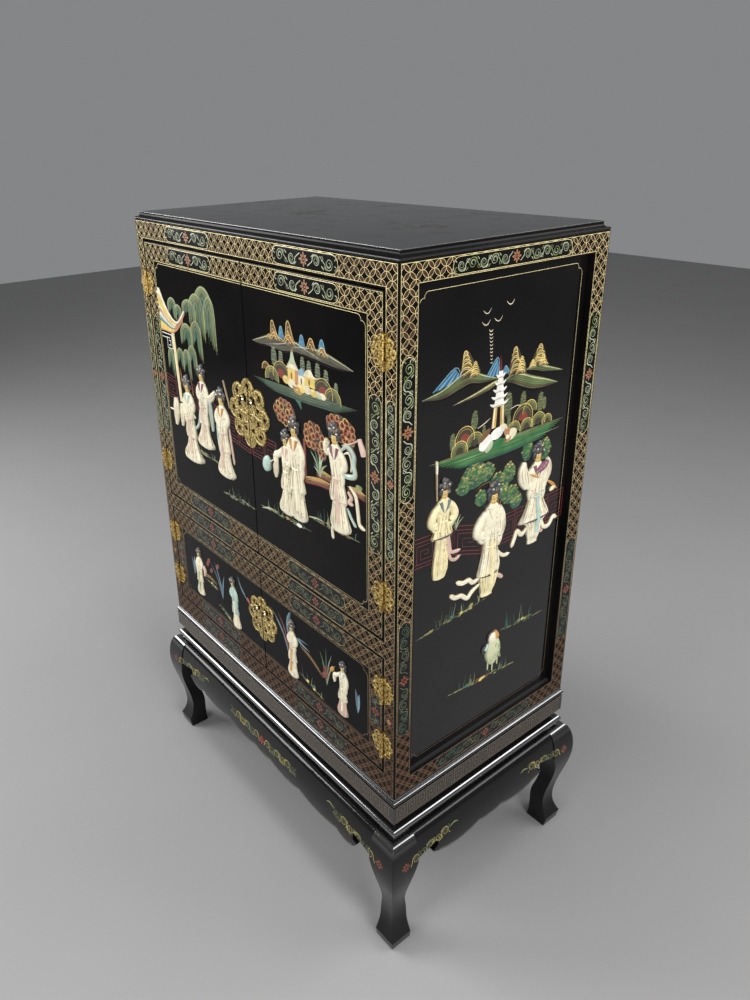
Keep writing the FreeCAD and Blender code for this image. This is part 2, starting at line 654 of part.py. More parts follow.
def save_door_figures():
    groups = (("upper", "left", UPPER_LEFT_FIGURE_SHARES), ("upper", "right", UPPER_RIGHT_FIGURE_SHARES),
              ("lower", "left", LOWER_LEFT_FIGURE_SHARES), ("lower", "right", LOWER_RIGHT_FIGURE_SHARES))
    sizes = {"upper": (UPPER_FIGURE_HEIGHT, UPPER_FIGURE_WIDTH),
             "lower": (LOWER_FIGURE_HEIGHT, LOWER_FIGURE_WIDTH)}
    for row, hand, shares in groups:
        low, high = DOOR_SPANS[row]
        sign = 1 if hand == "right" else -1
        solids = [moved(figure(*sizes[row]), sign * along * DOOR_OUTER, -HALF_DEPTH, low + up * (high - low))
                  for along, up in shares]
        save(row + "_" + hand + "_figures", *solids)


def save_side_figures():
    rise = PANEL_TOP - PANEL_BOTTOM
    standing = figure(SIDE_FIGURE_HEIGHT, SIDE_FIGURE_WIDTH)
    solids = [moved(standing, along * 2 * POST_BACK, 0, PANEL_BOTTOM + up * rise)
              for along, up in SIDE_FIGURE_SHARES]
    centre = V(CENSER_SHARES[0] * POST_BACK, 0, PANEL_BOTTOM + CENSER_SHARES[1] * rise)
    solids.append(Part.makeCylinder(CENSER_RADIUS, FIGURE_RELIEF, centre, V(0, -1, 0)))
    right = [moved(turned(solid, SIDE_TURNS["right"]), PANEL_OUTER, 0, 0) for solid in solids]
    save("right_side_figures", *right)
    save("left_side_figures", *[mirror_x(solid) for solid in right])


def main():
    os.makedirs("parts", exist_ok=True)
    save_legs()
    save_four_sides("apron", make_apron)
    save_four_sides("stand_rail", make_stand_rail)
    save_four_sides("base_moulding", make_base_moulding)
    save_posts()
    save_rails()
    save_side_rails()
    save_panels()
    save_boards()
    save_door_stops()
    save("top_board", make_top_board())
    save_doors()
    save_hinges()
    save_locks()
    save_door_figures()
    save_side_figures()


main()
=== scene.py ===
# %% [markdown]
# # Dressing a lacquered cabinet on a stand
# The construction is already made to size: posts, rails, doors, hinges, mouldings and legs come in as
# fixed solids. What is left is the maker's finishing work: black lacquer, gold borders, painted scenes,
# carved stone figures and engraved brass. Everything is in metres, and each new piece rides on the part
# of the cabinet that carries it, so the doors take their paintings along when they open.

# %% Load the cabinet
import math
import random

import bpy
import numpy as np
from mathutils import Matrix, Vector


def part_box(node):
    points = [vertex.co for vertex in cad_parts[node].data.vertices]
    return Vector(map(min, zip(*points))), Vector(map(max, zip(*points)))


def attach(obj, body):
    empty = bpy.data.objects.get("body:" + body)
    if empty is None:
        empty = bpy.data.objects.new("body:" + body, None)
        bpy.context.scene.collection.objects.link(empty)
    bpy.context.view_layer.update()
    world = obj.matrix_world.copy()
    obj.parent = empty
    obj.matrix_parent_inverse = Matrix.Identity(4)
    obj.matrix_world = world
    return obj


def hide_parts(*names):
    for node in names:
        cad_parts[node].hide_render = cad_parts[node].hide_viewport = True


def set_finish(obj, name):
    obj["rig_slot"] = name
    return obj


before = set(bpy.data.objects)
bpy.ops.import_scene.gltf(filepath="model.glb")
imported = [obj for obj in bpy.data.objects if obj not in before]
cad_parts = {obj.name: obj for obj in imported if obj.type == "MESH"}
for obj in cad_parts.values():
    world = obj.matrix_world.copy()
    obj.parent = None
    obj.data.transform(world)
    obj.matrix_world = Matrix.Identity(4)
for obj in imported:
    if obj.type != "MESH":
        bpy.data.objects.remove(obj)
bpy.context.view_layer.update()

# %% [markdown]
# ## Camera
# The view is from standing height, a little to the right of the front corner. Place, turn and lens come
# from solving the perspective of the cabinet's own edges. A camera object can be turned with angles, but a
# matrix built from the viewing direction keeps the small roll of a hand-held picture exactly.

# %% Camera
CAMERA_AT = Vector((1.0754, -0.8662, 1.3405))
CAMERA_YAW = 0.9101
CAMERA_PITCH = -0.3927
CAMERA_ROLL = -0.0218
CAMERA_LENS_MM = 28.15
CAMERA_SHIFT = (0.0375, -0.0482)


def camera_matrix():
    """The camera's place and turn, from its yaw, pitch and roll."""
    level = math.cos(CAMERA_PITCH)
    forward = Vector((-math.sin(CAMERA_YAW) * level, math.cos(CAMERA_YAW) * level, math.sin(CAMERA_PITCH)))
    right = Vector((math.cos(CAMERA_YAW), math.sin(CAMERA_YAW), 0))
    up = right.cross(forward)
    rolled_right = math.cos(CAMERA_ROLL) * right + math.sin(CAMERA_ROLL) * up
    rolled_up = math.cos(CAMERA_ROLL) * up - math.sin(CAMERA_ROLL) * right
    turn = Matrix((rolled_right, rolled_up, -forward)).transposed()
    return Matrix.Translation(CAMERA_AT) @ turn.to_4x4()


bpy.ops.object.camera_add()
camera = bpy.context.object
camera.matrix_world = camera_matrix()
camera.data.lens = CAMERA_LENS_MM
camera.data.shift_x, camera.data.shift_y = CAMERA_SHIFT
bpy.context.scene.camera = camera
bpy.context.scene.view_settings.view_transform = "Standard"
print("camera", [round(x, 3) for x in camera.location])

# %% [markdown]
# ## Node helpers
# Procedural materials are trees of small nodes. A few short helpers keep them readable: they make a node and
# feed its sockets, do sums on numbers and on vectors, blend colours and stretch one range to another.

# %% Node helpers


def feed(tree, socket, value):
    """Links a socket, or sets a constant straight on the input."""
    if isinstance(value, bpy.types.NodeSocket):
        tree.links.new(value, socket)
    else:
        socket.default_value = value


def feed_all(tree, node, feeds):
    """Feeds several sockets of a node, by their names or numbers."""
    for key, value in feeds.items():
        feed(tree, node.inputs[key], value)


def add_node(tree, kind, feeds=None, **settings):
    made = tree.nodes.new("ShaderNode" + kind)
    for key, value in settings.items():
        setattr(made, key, value)
    feed_all(tree, made, feeds or {})
    return made


def sums(tree, operation, *values):
    return add_node(tree, "Math", dict(enumerate(values)), operation=operation).outputs[0]


def times(tree, first, second):
    return sums(tree, "MULTIPLY", first, second)


def vector_sums(tree, operation, *values):
    made = add_node(tree, "VectorMath", dict(enumerate(values)), operation=operation)
    return made.outputs["Value" if operation == "LENGTH" else "Vector"]


def blend_colours(tree, factor, first, second, kind="MIX"):
    made = add_node(tree, "Mix", {0: factor, 6: first, 7: second}, data_type="RGBA", blend_type=kind)
    return made.outputs[2]


def span(tree, value, low, high, new_low, new_high):
    """Maps a value from one range to another, clamped."""
    made = add_node(tree, "MapRange", {"Value": value, "From Min": low, "From Max": high,
                                       "To Min": new_low, "To Max": new_high})
    return made.outputs["Result"]


def axes(tree, where):
    """The three coordinates of a place, each a number."""
    return add_node(tree, "SeparateXYZ", {"Vector": where}).outputs


def bump(tree, height, strength, distance):
    """A surface direction that follows small heights."""
    return add_node(tree, "Bump", {"Height": height, "Strength": strength, "Distance": distance}).outputs[0]


def new_material(name):
    material = bpy.data.materials.new(name)
    material.use_nodes = True
    tree = material.node_tree
    where = add_node(tree, "TexCoord").outputs["Object"]
    return material, tree, tree.nodes["Principled BSDF"], where


def new_group(name, inputs, outputs):
    """An empty node group; inputs have a kind each, and all outputs are numbers."""
    group = bpy.data.node_groups.new(name, "ShaderNodeTree")
    for label, kind in inputs.items():
        group.interface.new_socket(label, in_out="INPUT", socket_type="NodeSocket" + kind)
    for label in outputs:
        group.interface.new_socket(label, in_out="OUTPUT", socket_type="NodeSocketFloat")
    start = group.nodes.new("NodeGroupInput").outputs
    end = group.nodes.new("NodeGroupOutput").inputs
    return group, start, end


def place_group(tree, group, **feeds):
    made = tree.nodes.new("ShaderNodeGroup")
    made.node_tree = group
    feed_all(tree, made, feeds)
    return made.outputs


def rgb(red, green, blue):
    return (red, green, blue, 1.0)


# %% [markdown]
# ## Shared effects
# Hand-laid finishes are never even. One node group gives every finish a slow change of tone, a fine grain
# for bump and a patchy rub; another draws the gold lattice. The lattice is two families of touching
# circles, one shifted by half a step, so each circle is crossed by four others. Distances to the nearest
# circle of each family give the lines, and the spots inside both families are the leaf-shaped lenses.

# %% Node groups for uneven finish and circle lattice
LATTICE_RADIUS = 0.0105
LATTICE_LINE = 0.00046


def make_uneven_group():
    group, start, end = new_group("uneven finish", {"Vector": "Vector", "Scale": "Float"},
                                  ("Tone", "Grain", "Rub", "Keep"))

    def noise(finer, detail):
        scale = times(group, start["Scale"], finer)
        feeds = {"Vector": start["Vector"], "Scale": scale, "Detail": detail}
        return add_node(group, "TexNoise", feeds).outputs[0]

    slow, fine, patch = noise(1.0, 4.0), noise(14.0, 3.0), noise(3.2, 6.0)
    feed(group, end["Tone"], span(group, slow, 0.25, 0.75, 0.0, 1.0))
    feed(group, end["Grain"], fine)
    feed(group, end["Rub"], span(group, patch, 0.52, 0.72, 0.0, 1.0))
    feed(group, end["Keep"], span(group, patch, 0.5, 0.75, 1.0, 0.45))
    return group


def make_lattice_group():
    group, start, end = new_group("circle lattice", {"Vector": "Vector"}, ("Line", "Lens"))
    reach = (LATTICE_RADIUS, LATTICE_RADIUS, 1.0)
    back = (-LATTICE_RADIUS, -LATTICE_RADIUS, -1.0)
    shifted = vector_sums(group, "ADD", start["Vector"], (LATTICE_RADIUS, LATTICE_RADIUS, 0.0))
    distances = []
    insides = []
    for vector in (start["Vector"], shifted):
        wrapped = vector_sums(group, "WRAP", vector, reach, back)
        length = vector_sums(group, "LENGTH", wrapped)
        distances.append(sums(group, "ABSOLUTE", sums(group, "SUBTRACT", length, LATTICE_RADIUS)))
        insides.append(sums(group, "LESS_THAN", length, LATTICE_RADIUS))
    nearest = sums(group, "MINIMUM", *distances)
    feed(group, end["Line"], span(group, nearest, LATTICE_LINE * 0.4, LATTICE_LINE * 0.6, 1.0, 0.0))
    feed(group, end["Lens"], times(group, *insides))
    return group


UNEVEN = make_uneven_group()
LATTICE = make_lattice_group()
print("groups", UNEVEN.name, "and", LATTICE.name)

# %% [markdown]
# ## Border layout
# A cabinet painter first rules the borders with chalk. These are those rulings, in millimetres from the
# middle of each face and from the floor: a half width, a low and a high line. The lattice in the lacquer
# and the gold lines painted later both follow them, so they can never drift apart.

# %% Border layout
MM = 0.001
FRAME_OUTER = (366.5, 333.5, 1187.0)
UPPER_OPENING = (345.8, 623.2, 1157.0)
LOWER_OPENING = (345.8, 367.2, 596.6)
DOOR_BORDERS = {
    "upper": {"edge": (339.0, 630.0, 1149.0), "field": (309.0, 662.0, 1118.0),
              "inner": (305.5, 665.5, 1114.5)},
    "lower": {"edge": (339.0, 374.0, 590.0), "field": (309.0, 405.5, 556.0),
              "inner": (305.5, 409.0, 552.5)},
}
SIDE_OUTER = (214.0, 333.5, 1187.0)
SIDE_INNER = (184.5, 361.3, 1160.6)
PANEL_LINE = (171.0, 377.0, 1145.0)
print("border layout for", len(DOOR_BORDERS), "rows of doors")

# %% [markdown]
# ## Lacquer
# Black lacquer is many thin polished coats. It is nearly black, slightly warm where it has rubbed, and its
# gloss carries almost all that one sees: reflections of the floor and the lamps. The stand and the panels
# get plain lacquer with their own gloss. The beads, the rails, the shoulders of the legs and the arrises of
# the top also get a brighter polish, which is the shader's coat. The frame and the doors' borders get lacquer
# with the lattice drawn on it, from the place on the cabinet, so it lines up from piece to piece. The ledge
# under a side panel gets a painted reflection of the panel: its back half is painted greyer.

# %% Lacquer
FRONT_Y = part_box("front_post_right")[0].y
STILE_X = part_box("front_post_right")[1].x
PANEL_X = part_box("side_panel_right")[1].x
LEDGE_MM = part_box("side_bottom_rails")[1].z / MM
SIDE_LEDGE = (SIDE_INNER[0], LEDGE_MM - 1.0, LEDGE_MM + 1.0)
# The ledge under a side panel gets a painted reflection of the panel: painted grey near the panel, fading out
# over this reach.
PAINTED_REFLECTION_REACH = (STILE_X - PANEL_X) * 0.4
LEDGE_PAINTED_REFLECTION = rgb(0.032, 0.032, 0.034)
FACE_TOLERANCE = 0.0004
LACQUER_BLACK = rgb(0.0035, 0.0034, 0.0038)
LACQUER_RUBBED = rgb(0.0085, 0.0075, 0.0070)
LENS_HIGH = rgb(0.062, 0.030, 0.020)
LENS_LOW = rgb(0.046, 0.021, 0.013)
GOLD_LINE = rgb(0.98, 0.85, 0.42)
# Colour of the gold towards the bottom, where it is darker.
GOLD_DARK_LOW = rgb(0.22, 0.15, 0.08)
FADE_LOW, FADE_HIGH = 0.45, 1.0
DULL_SPECULAR = 0.05
POLISH_IOR = 2.2
TOP_COAT = 0.2
BEAD_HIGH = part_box("base_moulding_front")[1].z
RAIL_LOW, RAIL_HIGH = (corner.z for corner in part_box("stand_rail_front"))
BEAD_POLISH = [(BEAD_HIGH - 0.008, BEAD_HIGH - 0.006, BEAD_HIGH + 1), (RAIL_LOW, RAIL_LOW + 0.002, RAIL_HIGH)]
LEG_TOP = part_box("leg_front_right")[1].z
LEG_POLISH = [(LEG_TOP - 0.017, LEG_TOP - 0.002, LEG_TOP + 1)]
ARRIS_START, ARRIS_FULL = 0.0022, 0.0012
FACE_START, FACE_FULL = 0.0003, 0.0001
FOOT_FULL, FOOT_END = 0.0016, 0.0026
STAND_FINISH = {"gloss": 0.05, "rub_gloss": 0.12, "specular": 0.3, "rounding": 0.0018}
BEAD_FINISH = {"gloss": 0.06, "rub_gloss": 0.12, "specular": 0.95, "rounding": 0.0006}
PANEL_FINISH = {"gloss": 0.05, "rub_gloss": 0.08, "specular": 0.42, "rounding": 0.0008}


def finish_lacquer(tree, shader, where, gloss, rub_gloss, rounding):
    """Tone, gloss, fine ripple and softened edges of a lacquered surface."""
    uneven = place_group(tree, UNEVEN, Vector=where, Scale=7.0)
    colour = blend_colours(tree, uneven["Tone"], LACQUER_BLACK, LACQUER_RUBBED)
    roughness = span(tree, uneven["Rub"], 0.0, 1.0, gloss, rub_gloss)
    edges = add_node(tree, "Bevel", {"Radius": rounding}, samples=6).outputs[0]
    ripple = add_node(tree, "Bump", {"Height": uneven["Grain"], "Strength": 0.015, "Distance": 0.0005,
                                     "Normal": edges})
    feed(tree, shader.inputs["Normal"], ripple.outputs[0])
    return colour, roughness, uneven


def plain_lacquer(name, gloss, rub_gloss, specular, rounding):
    material, tree, shader, where = new_material(name)
    colour, roughness, uneven = finish_lacquer(tree, shader, where, gloss, rub_gloss, rounding)
    feed_all(tree, shader, {"Base Color": colour, "Roughness": roughness, "Specular IOR Level": specular})
    return material


def polished_lacquer(name, levels, finish):
    """Plain lacquer with a brighter polish that begins, is full and ends at the heights of each level."""
    material = plain_lacquer(name, **finish)
    tree = material.node_tree
    height = axes(tree, add_node(tree, "TexCoord").outputs["Object"])["Z"]
    mask = 0.0
    for low, full, high in levels:
        above = span(tree, height, low, full, 0.0, 1.0)
        below = sums(tree, "LESS_THAN", height, high)
        mask = sums(tree, "MAXIMUM", mask, times(tree, above, below))
    feed_all(tree, tree.nodes["Principled BSDF"],
             {"Coat Weight": mask, "Coat IOR": POLISH_IOR, "Coat Roughness": 0.08})
    return material


def top_finish():
    """The lacquer of the top: satin above, bright on the arrises of its edge, dull in the hollow between."""
    material, tree, shader, where = new_material("top lacquer")
    colour, roughness, uneven = finish_lacquer(tree, shader, where, gloss=0.14, rub_gloss=0.22,
                                               rounding=0.0010)
    low, high = (corner.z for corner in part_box("top_board"))
    height = axes(tree, where)["Z"]
    upper = span(tree, height, high - ARRIS_START, high - ARRIS_FULL, 0.0, 1.0)
    satin = span(tree, height, high - FACE_START, high - FACE_FULL, 1.0, TOP_COAT)
    lower = span(tree, height, low + FOOT_FULL, low + FOOT_END, 1.0, 0.0)
    polish = sums(tree, "MAXIMUM", times(tree, upper, satin), lower)
    edges = add_node(tree, "Bevel", {"Radius": 0.0012}, samples=6).outputs[0]
    feed_all(tree, shader, {"Base Color": colour, "Roughness": roughness, "Specular IOR Level": DULL_SPECULAR,
                            "Coat Weight": polish, "Coat IOR": POLISH_IOR, "Coat Roughness": 0.14,
                            "Coat Normal": edges})
    return material


def inside_box(tree, across, up, box):
    """One inside a ruled box of the layout, nought outside."""
    half, low, high = (value * MM for value in box)
    narrow = sums(tree, "LESS_THAN", sums(tree, "ABSOLUTE", across), half)
    tall = times(tree, sums(tree, "GREATER_THAN", up, low), sums(tree, "LESS_THAN", up, high))
    return times(tree, narrow, tall)


def strip_mask(tree, across, up, outer, holes):
    """One on a border strip: inside its outer box but in none of its holes."""
    mask = inside_box(tree, across, up, outer)
    for hole in holes:
        mask = sums(tree, "SUBTRACT", mask, inside_box(tree, across, up, hole))
    return mask


def lattice_lacquer(name, front_outer, front_holes):
    """Lacquer with the gold lattice on the border strips of the front and of the sides."""
    material, tree, shader, where = new_material(name)
    colour, roughness, uneven = finish_lacquer(tree, shader, where, gloss=0.1, rub_gloss=0.2, rounding=0.0009)
    x, y, z = axes(tree, where)
    outward = sums(tree, "ABSOLUTE", x)
    # Painted reflection: the ledge under the side panel is painted grey near the panel, as if mirroring it,
    # fading out towards the stile.
    painted_reflection_fade = span(tree, outward, PANEL_X + PAINTED_REFLECTION_REACH, PANEL_X + 2 * PAINTED_REFLECTION_REACH, 1.0, 0.0)
    ledge = times(tree, inside_box(tree, y, z, SIDE_LEDGE), painted_reflection_fade)
    colour = blend_colours(tree, ledge, colour, LEDGE_PAINTED_REFLECTION)
    on_side = sums(tree, "GREATER_THAN", outward, STILE_X - FACE_TOLERANCE)
    on_front = sums(tree, "LESS_THAN", y, FRONT_Y + FACE_TOLERANCE)
    along = sums(tree, "ADD", x, times(tree, on_side, sums(tree, "SUBTRACT", y, x)))
    flat = add_node(tree, "CombineXYZ", {"X": along, "Y": z}).outputs[0]
    lattice = place_group(tree, LATTICE, Vector=flat)
    front_strip = times(tree, on_front, strip_mask(tree, x, z, front_outer, front_holes))
    side_strip = times(tree, on_side, strip_mask(tree, y, z, SIDE_OUTER, [SIDE_INNER]))
    shown = sums(tree, "MAXIMUM", front_strip, side_strip)
    lens = times(tree, lattice["Lens"], shown)
    line_mask = times(tree, lattice["Line"], shown)
    # The gold lines and the lenses are darker towards the bottom.
    fade = span(tree, z, FADE_LOW, FADE_HIGH, 0.0, 1.0)
    gold = blend_colours(tree, times(tree, fade, uneven["Keep"]), GOLD_DARK_LOW, GOLD_LINE)
    colour = blend_colours(tree, lens, colour, blend_colours(tree, fade, LENS_LOW, LENS_HIGH))
    painted = times(tree, sums(tree, "MAXIMUM", line_mask, lens), 0.22)
    feed_all(tree, shader, {"Base Color": blend_colours(tree, line_mask, colour, gold),
                            "Metallic": times(tree, line_mask, 0.15),
                            "Roughness": sums(tree, "ADD", roughness, painted),
                            "Specular IOR Level": DULL_SPECULAR})
    return material


stand_lacquer = plain_lacquer("stand lacquer", **STAND_FINISH)
leg_lacquer = polished_lacquer("leg lacquer", LEG_POLISH, STAND_FINISH)
bead_lacquer = polished_lacquer("bead lacquer", BEAD_POLISH, BEAD_FINISH)
panel_lacquer = plain_lacquer("panel lacquer", **PANEL_FINISH)
top_lacquer = top_finish()
frame_lacquer = lattice_lacquer("frame lacquer", FRAME_OUTER, [UPPER_OPENING, LOWER_OPENING])
door_lacquers = {row: lattice_lacquer(row + " door lacquer", borders["edge"], [borders["field"]])
                 for row, borders in DOOR_BORDERS.items()}
print("lacquers made, front at", round(FRONT_Y, 4), "side at", round(STILE_X, 4))

# %% [markdown]
# ## Brass and the wood inside
# The fittings are sheet brass, cut through and engraved, gone a little brown in the hollows. The hinge pins
# are browner. The lock staples carry painted light: painted shade nearly black at the root and dark at the
# end, with a painted highlight round the eye. The boards inside are plain wood under a thin red-brown stain,
# with grain along their length.

# %% Brass and inner wood
# Depths out from the plate where the staples' painted shade ends, and where their painted highlight ends.
STAPLE_SHADE_DEPTHS = (0.0030, 0.0042)
STAPLE_HIGHLIGHT_DEPTHS = (0.0062, 0.0072)


def make_brass(name, bright, dark, roughness):
    material, tree, shader, where = new_material(name)
    uneven = place_group(tree, UNEVEN, Vector=where, Scale=40.0)
    punched = add_node(tree, "TexVoronoi", {"Vector": where, "Scale": 330.0}).outputs["Distance"]
    hollow = sums(tree, "MAXIMUM", uneven["Rub"], span(tree, punched, 0.42, 0.62, 0.0, 1.0))
    height = sums(tree, "SUBTRACT", uneven["Grain"], punched)
    feed_all(tree, shader, {
        "Base Color": blend_colours(tree, hollow, bright, dark),
        "Metallic": 0.8,
        "Roughness": span(tree, uneven["Tone"], 0.0, 1.0, roughness - 0.08, roughness + 0.1),
        "Normal": bump(tree, height, strength=0.4, distance=0.0007)})
    return material


def make_staple_brass():
    """Brass of the lock staples with painted light: painted shade nearly black at the root, a painted
    highlight round the eye, and painted shade dark brown at the end.
    """
    material, tree, shader, where = new_material("staple brass with painted light")
    uneven = place_group(tree, UNEVEN, Vector=where, Scale=60.0)
    depth = axes(tree, where)["Y"]
    past_painted_shade = span(tree, depth, *(FRONT_Y - reach for reach in STAPLE_SHADE_DEPTHS), 0.0, 1.0)
    past_painted_highlight = span(tree, depth, *(FRONT_Y - reach for reach in STAPLE_HIGHLIGHT_DEPTHS), 0.0, 1.0)
    # Painted shade nearly black at the root; then a pale painted highlight round the eye, turning to painted
    # shade at the end.
    root = blend_colours(tree, uneven["Tone"], rgb(0.018, 0.011, 0.006), rgb(0.045, 0.026, 0.012))
    eye = blend_colours(tree, past_painted_highlight, rgb(0.92, 0.84, 0.58), rgb(0.07, 0.042, 0.020))
    feed_all(tree, shader, {
        "Base Color": blend_colours(tree, past_painted_shade, root, eye),
        "Metallic": span(tree, past_painted_shade, 0.0, 1.0, 0.2, 0.7),
        "Roughness": span(tree, uneven["Rub"], 0.0, 1.0, 0.26, 0.4)})
    return material


def make_inner_wood():
    material, tree, shader, where = new_material("stained inner wood")
    stretched = add_node(tree, "Mapping", {"Vector": where, "Scale": (1.5, 22.0, 22.0)}).outputs[0]
    grain = add_node(tree, "TexNoise", {"Vector": stretched, "Scale": 6.0, "Detail": 8.0, "Distortion": 0.6})
    pores = add_node(tree, "TexNoise", {"Vector": stretched, "Scale": 40.0, "Detail": 3.0}).outputs[0]
    colour = blend_colours(tree, grain.outputs[0], rgb(0.085, 0.026, 0.014), rgb(0.20, 0.075, 0.038))
    feed_all(tree, shader, {
        "Base Color": colour,
        "Roughness": span(tree, pores, 0.3, 0.7, 0.38, 0.6),
        "Normal": bump(tree, pores, strength=0.2, distance=0.0008)})
    return material


brass = make_brass("engraved brass", rgb(0.64, 0.50, 0.18), rgb(0.14, 0.085, 0.028), roughness=0.4)
pin_brass = make_brass("browned brass", rgb(0.24, 0.13, 0.045), rgb(0.07, 0.038, 0.016), roughness=0.4)
bright_brass = make_brass("raised brass", rgb(0.80, 0.67, 0.30), rgb(0.42, 0.32, 0.13), roughness=0.34)
hinge_brass = make_brass("hinge brass", rgb(0.68, 0.50, 0.15), rgb(0.20, 0.12, 0.04), roughness=0.36)
staple_brass = make_staple_brass()
inner_wood = make_inner_wood()


def finish_for(node):
    """The finish that a piece of the construction gets, by its name."""
    if node.endswith("door"):
        return door_lacquers[node.split("_")[0]]
    if "hinge" in node:
        return pin_brass if "pin" in node else hinge_brass
    if "lock" in node:
        return staple_brass if "staple" in node else brass
    if node in ("bottom_board", "middle_board", "shelf", "shelf_bearers", "door_stops"):
        return inner_wood
    if node.startswith("side_panel") or node == "back_panel":
        return panel_lacquer
    if node == "top_board":
        return top_lacquer
    if node.startswith(("base_moulding", "stand_rail")):
        return bead_lacquer
    if node.startswith("leg"):
        return leg_lacquer
    if "post" in node or node.endswith(("rail", "rails")):
        return frame_lacquer
    return stand_lacquer


for node_name, node_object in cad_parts.items():
    for material_slot in node_object.material_slots:
        material_slot.material = finish_for(node_name)
print("finishes set on", len(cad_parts), "pieces")

# %% [markdown]
# ## Paints
# The painters used thick oil paint and gold size, so each stroke stands a hair above the lacquer. Every
# paint is one material with its own colour, which changes a little from place to place. The tints on
# the stone figures are made the same way, but smoother and with faint veins.

# %% Paints
STONE_VEIN = rgb(0.46, 0.36, 0.22)
PAINT_COLOURS = {
    "cream": rgb(0.72, 0.66, 0.46),
    "white": rgb(0.76, 0.75, 0.68),
    "yellow": rgb(0.70, 0.52, 0.14),
    "ochre": rgb(0.46, 0.29, 0.085),
    "brown": rgb(0.17, 0.085, 0.035),
    "red": rgb(0.40, 0.055, 0.035),
    "crimson": rgb(0.16, 0.013, 0.014),
    "fence red": rgb(0.165, 0.023, 0.026),
    "tan": rgb(0.40, 0.20, 0.10),
    "leaf": rgb(0.070, 0.16, 0.05),
    "moss": rgb(0.18, 0.22, 0.075),
    "sage": rgb(0.26, 0.30, 0.16),
    "celadon": rgb(0.42, 0.47, 0.32),
    "pine": rgb(0.030, 0.15, 0.050),
    "teal": rgb(0.050, 0.14, 0.105),
    "deep": rgb(0.03, 0.085, 0.055),
    "blue": rgb(0.055, 0.18, 0.30),
    "deep blue": rgb(0.025, 0.085, 0.16),
    "sky": rgb(0.24, 0.40, 0.48),
    "grey": rgb(0.18, 0.18, 0.15),
    "top wear": rgb(0.070, 0.062, 0.042),
    "olive": rgb(0.105, 0.12, 0.05),
    "umber": rgb(0.052, 0.040, 0.024),
    "dusk": rgb(0.070, 0.090, 0.050),
    "rose": rgb(0.50, 0.23, 0.12),
    "rust": rgb(0.21, 0.045, 0.032),
    "straw": rgb(0.34, 0.30, 0.095),
    "pewter": rgb(0.30, 0.30, 0.26),
    "apricot": rgb(0.56, 0.27, 0.085),
    "steel": rgb(0.15, 0.25, 0.30),
    "dull blue": rgb(0.07, 0.115, 0.145),
}


def make_paint(name, colour, metallic=0.0, worn=None):
    material, tree, shader, where = new_material(name + " paint")
    uneven = place_group(tree, UNEVEN, Vector=where, Scale=55.0)
    # Gold paint is darker towards the bottom.
    if worn:
        upper_share = span(tree, axes(tree, where)["Z"], FADE_LOW, FADE_HIGH, 0.0, 1.0)
        colour = blend_colours(tree, upper_share, worn, colour)
    shade = span(tree, uneven["Tone"], 0.0, 1.0, 0.72, 1.22)
    feed_all(tree, shader, {
        "Base Color": blend_colours(tree, 1.0, colour, shade, "MULTIPLY"),
        "Roughness": span(tree, uneven["Rub"], 0.0, 1.0, 0.3, 0.46),
        "Metallic": metallic,
        "Normal": bump(tree, uneven["Grain"], strength=0.15, distance=0.0004)})
    return material


def make_stone(name, colour):
    material, tree, shader, where = new_material(name + " stone")
    uneven = place_group(tree, UNEVEN, Vector=where, Scale=34.0)
    veined = blend_colours(tree, times(tree, uneven["Rub"], 0.5), colour, STONE_VEIN)
    shade = span(tree, uneven["Tone"], 0.0, 1.0, 0.86, 1.08)
    feed_all(tree, shader, {
        "Base Color": blend_colours(tree, 1.0, veined, shade, "MULTIPLY"),
        "Roughness": span(tree, uneven["Grain"], 0.3, 0.7, 0.3, 0.46),
        "Normal": bump(tree, uneven["Grain"], strength=0.12, distance=0.0005)})
    return material


PAINTS = {name: make_paint(name, colour) for name, colour in PAINT_COLOURS.items()}
PAINTS["gold"] = make_paint("gold", GOLD_LINE, metallic=0.15, worn=GOLD_DARK_LOW)
PAINTS["dull gold"] = make_paint("dull gold", rgb(0.19, 0.135, 0.065), metallic=0.3)
PAINTS["brass"] = bright_brass
PAINTS["black"] = plain_lacquer("film lacquer", gloss=0.16, rub_gloss=0.24, specular=0.2, rounding=0.0001)
STONE_COLOURS = {
    "stone": rgb(0.83, 0.77, 0.58),
    "pink stone": rgb(0.66, 0.47, 0.39),
    "aqua stone": rgb(0.44, 0.60, 0.53),
    "slate stone": rgb(0.15, 0.21, 0.22),
    "plum stone": rgb(0.22, 0.085, 0.13),
    "ivory skin": rgb(0.72, 0.51, 0.17),
    "dark hair": rgb(0.040, 0.040, 0.050),
    # The tan "fold" is painted shade in the creases of the clothes, and also the colour of sprigs, staffs and
    # edges.
    "fold": rgb(0.36, 0.28, 0.17),
    "jade": rgb(0.28, 0.38, 0.20),
    "pale jade": rgb(0.55, 0.58, 0.36),
    "amber": rgb(0.55, 0.27, 0.07),
    "yellow stone": rgb(0.82, 0.73, 0.43),
}
for stone_name, stone_colour in STONE_COLOURS.items():
    PAINTS[stone_name] = make_stone(stone_name, stone_colour)
print("paints and stones", len(PAINTS))

# %% [markdown]
# ## Brush strokes
# A painted line is a stroke of the brush: a path, a width that swells and thins, and a colour. In Blender
# that is a curve with a bevel, whose points each have a radius. All the strokes of one picture go into one
# curve object, which the convert operator turns into a mesh. Then the round section is pressed flat, so
# that each stroke is a thin film with a soft crown. Later layers lie a little higher than earlier ones.
# The designs are laid out in millimetres across and up the surface, as on a painter's pattern.

# %% Brush strokes
LAYER_GAP = 1000.0
LAYER_RISE_MM = 0.07
PAINT_RISE_MM = 0.06
PAINT_SINK_MM = 0.05
EDGE_TOLERANCE_MM = 0.01
CREASE_DEGREES = 40
CURL_DEPTH = 0.82
strokes = []


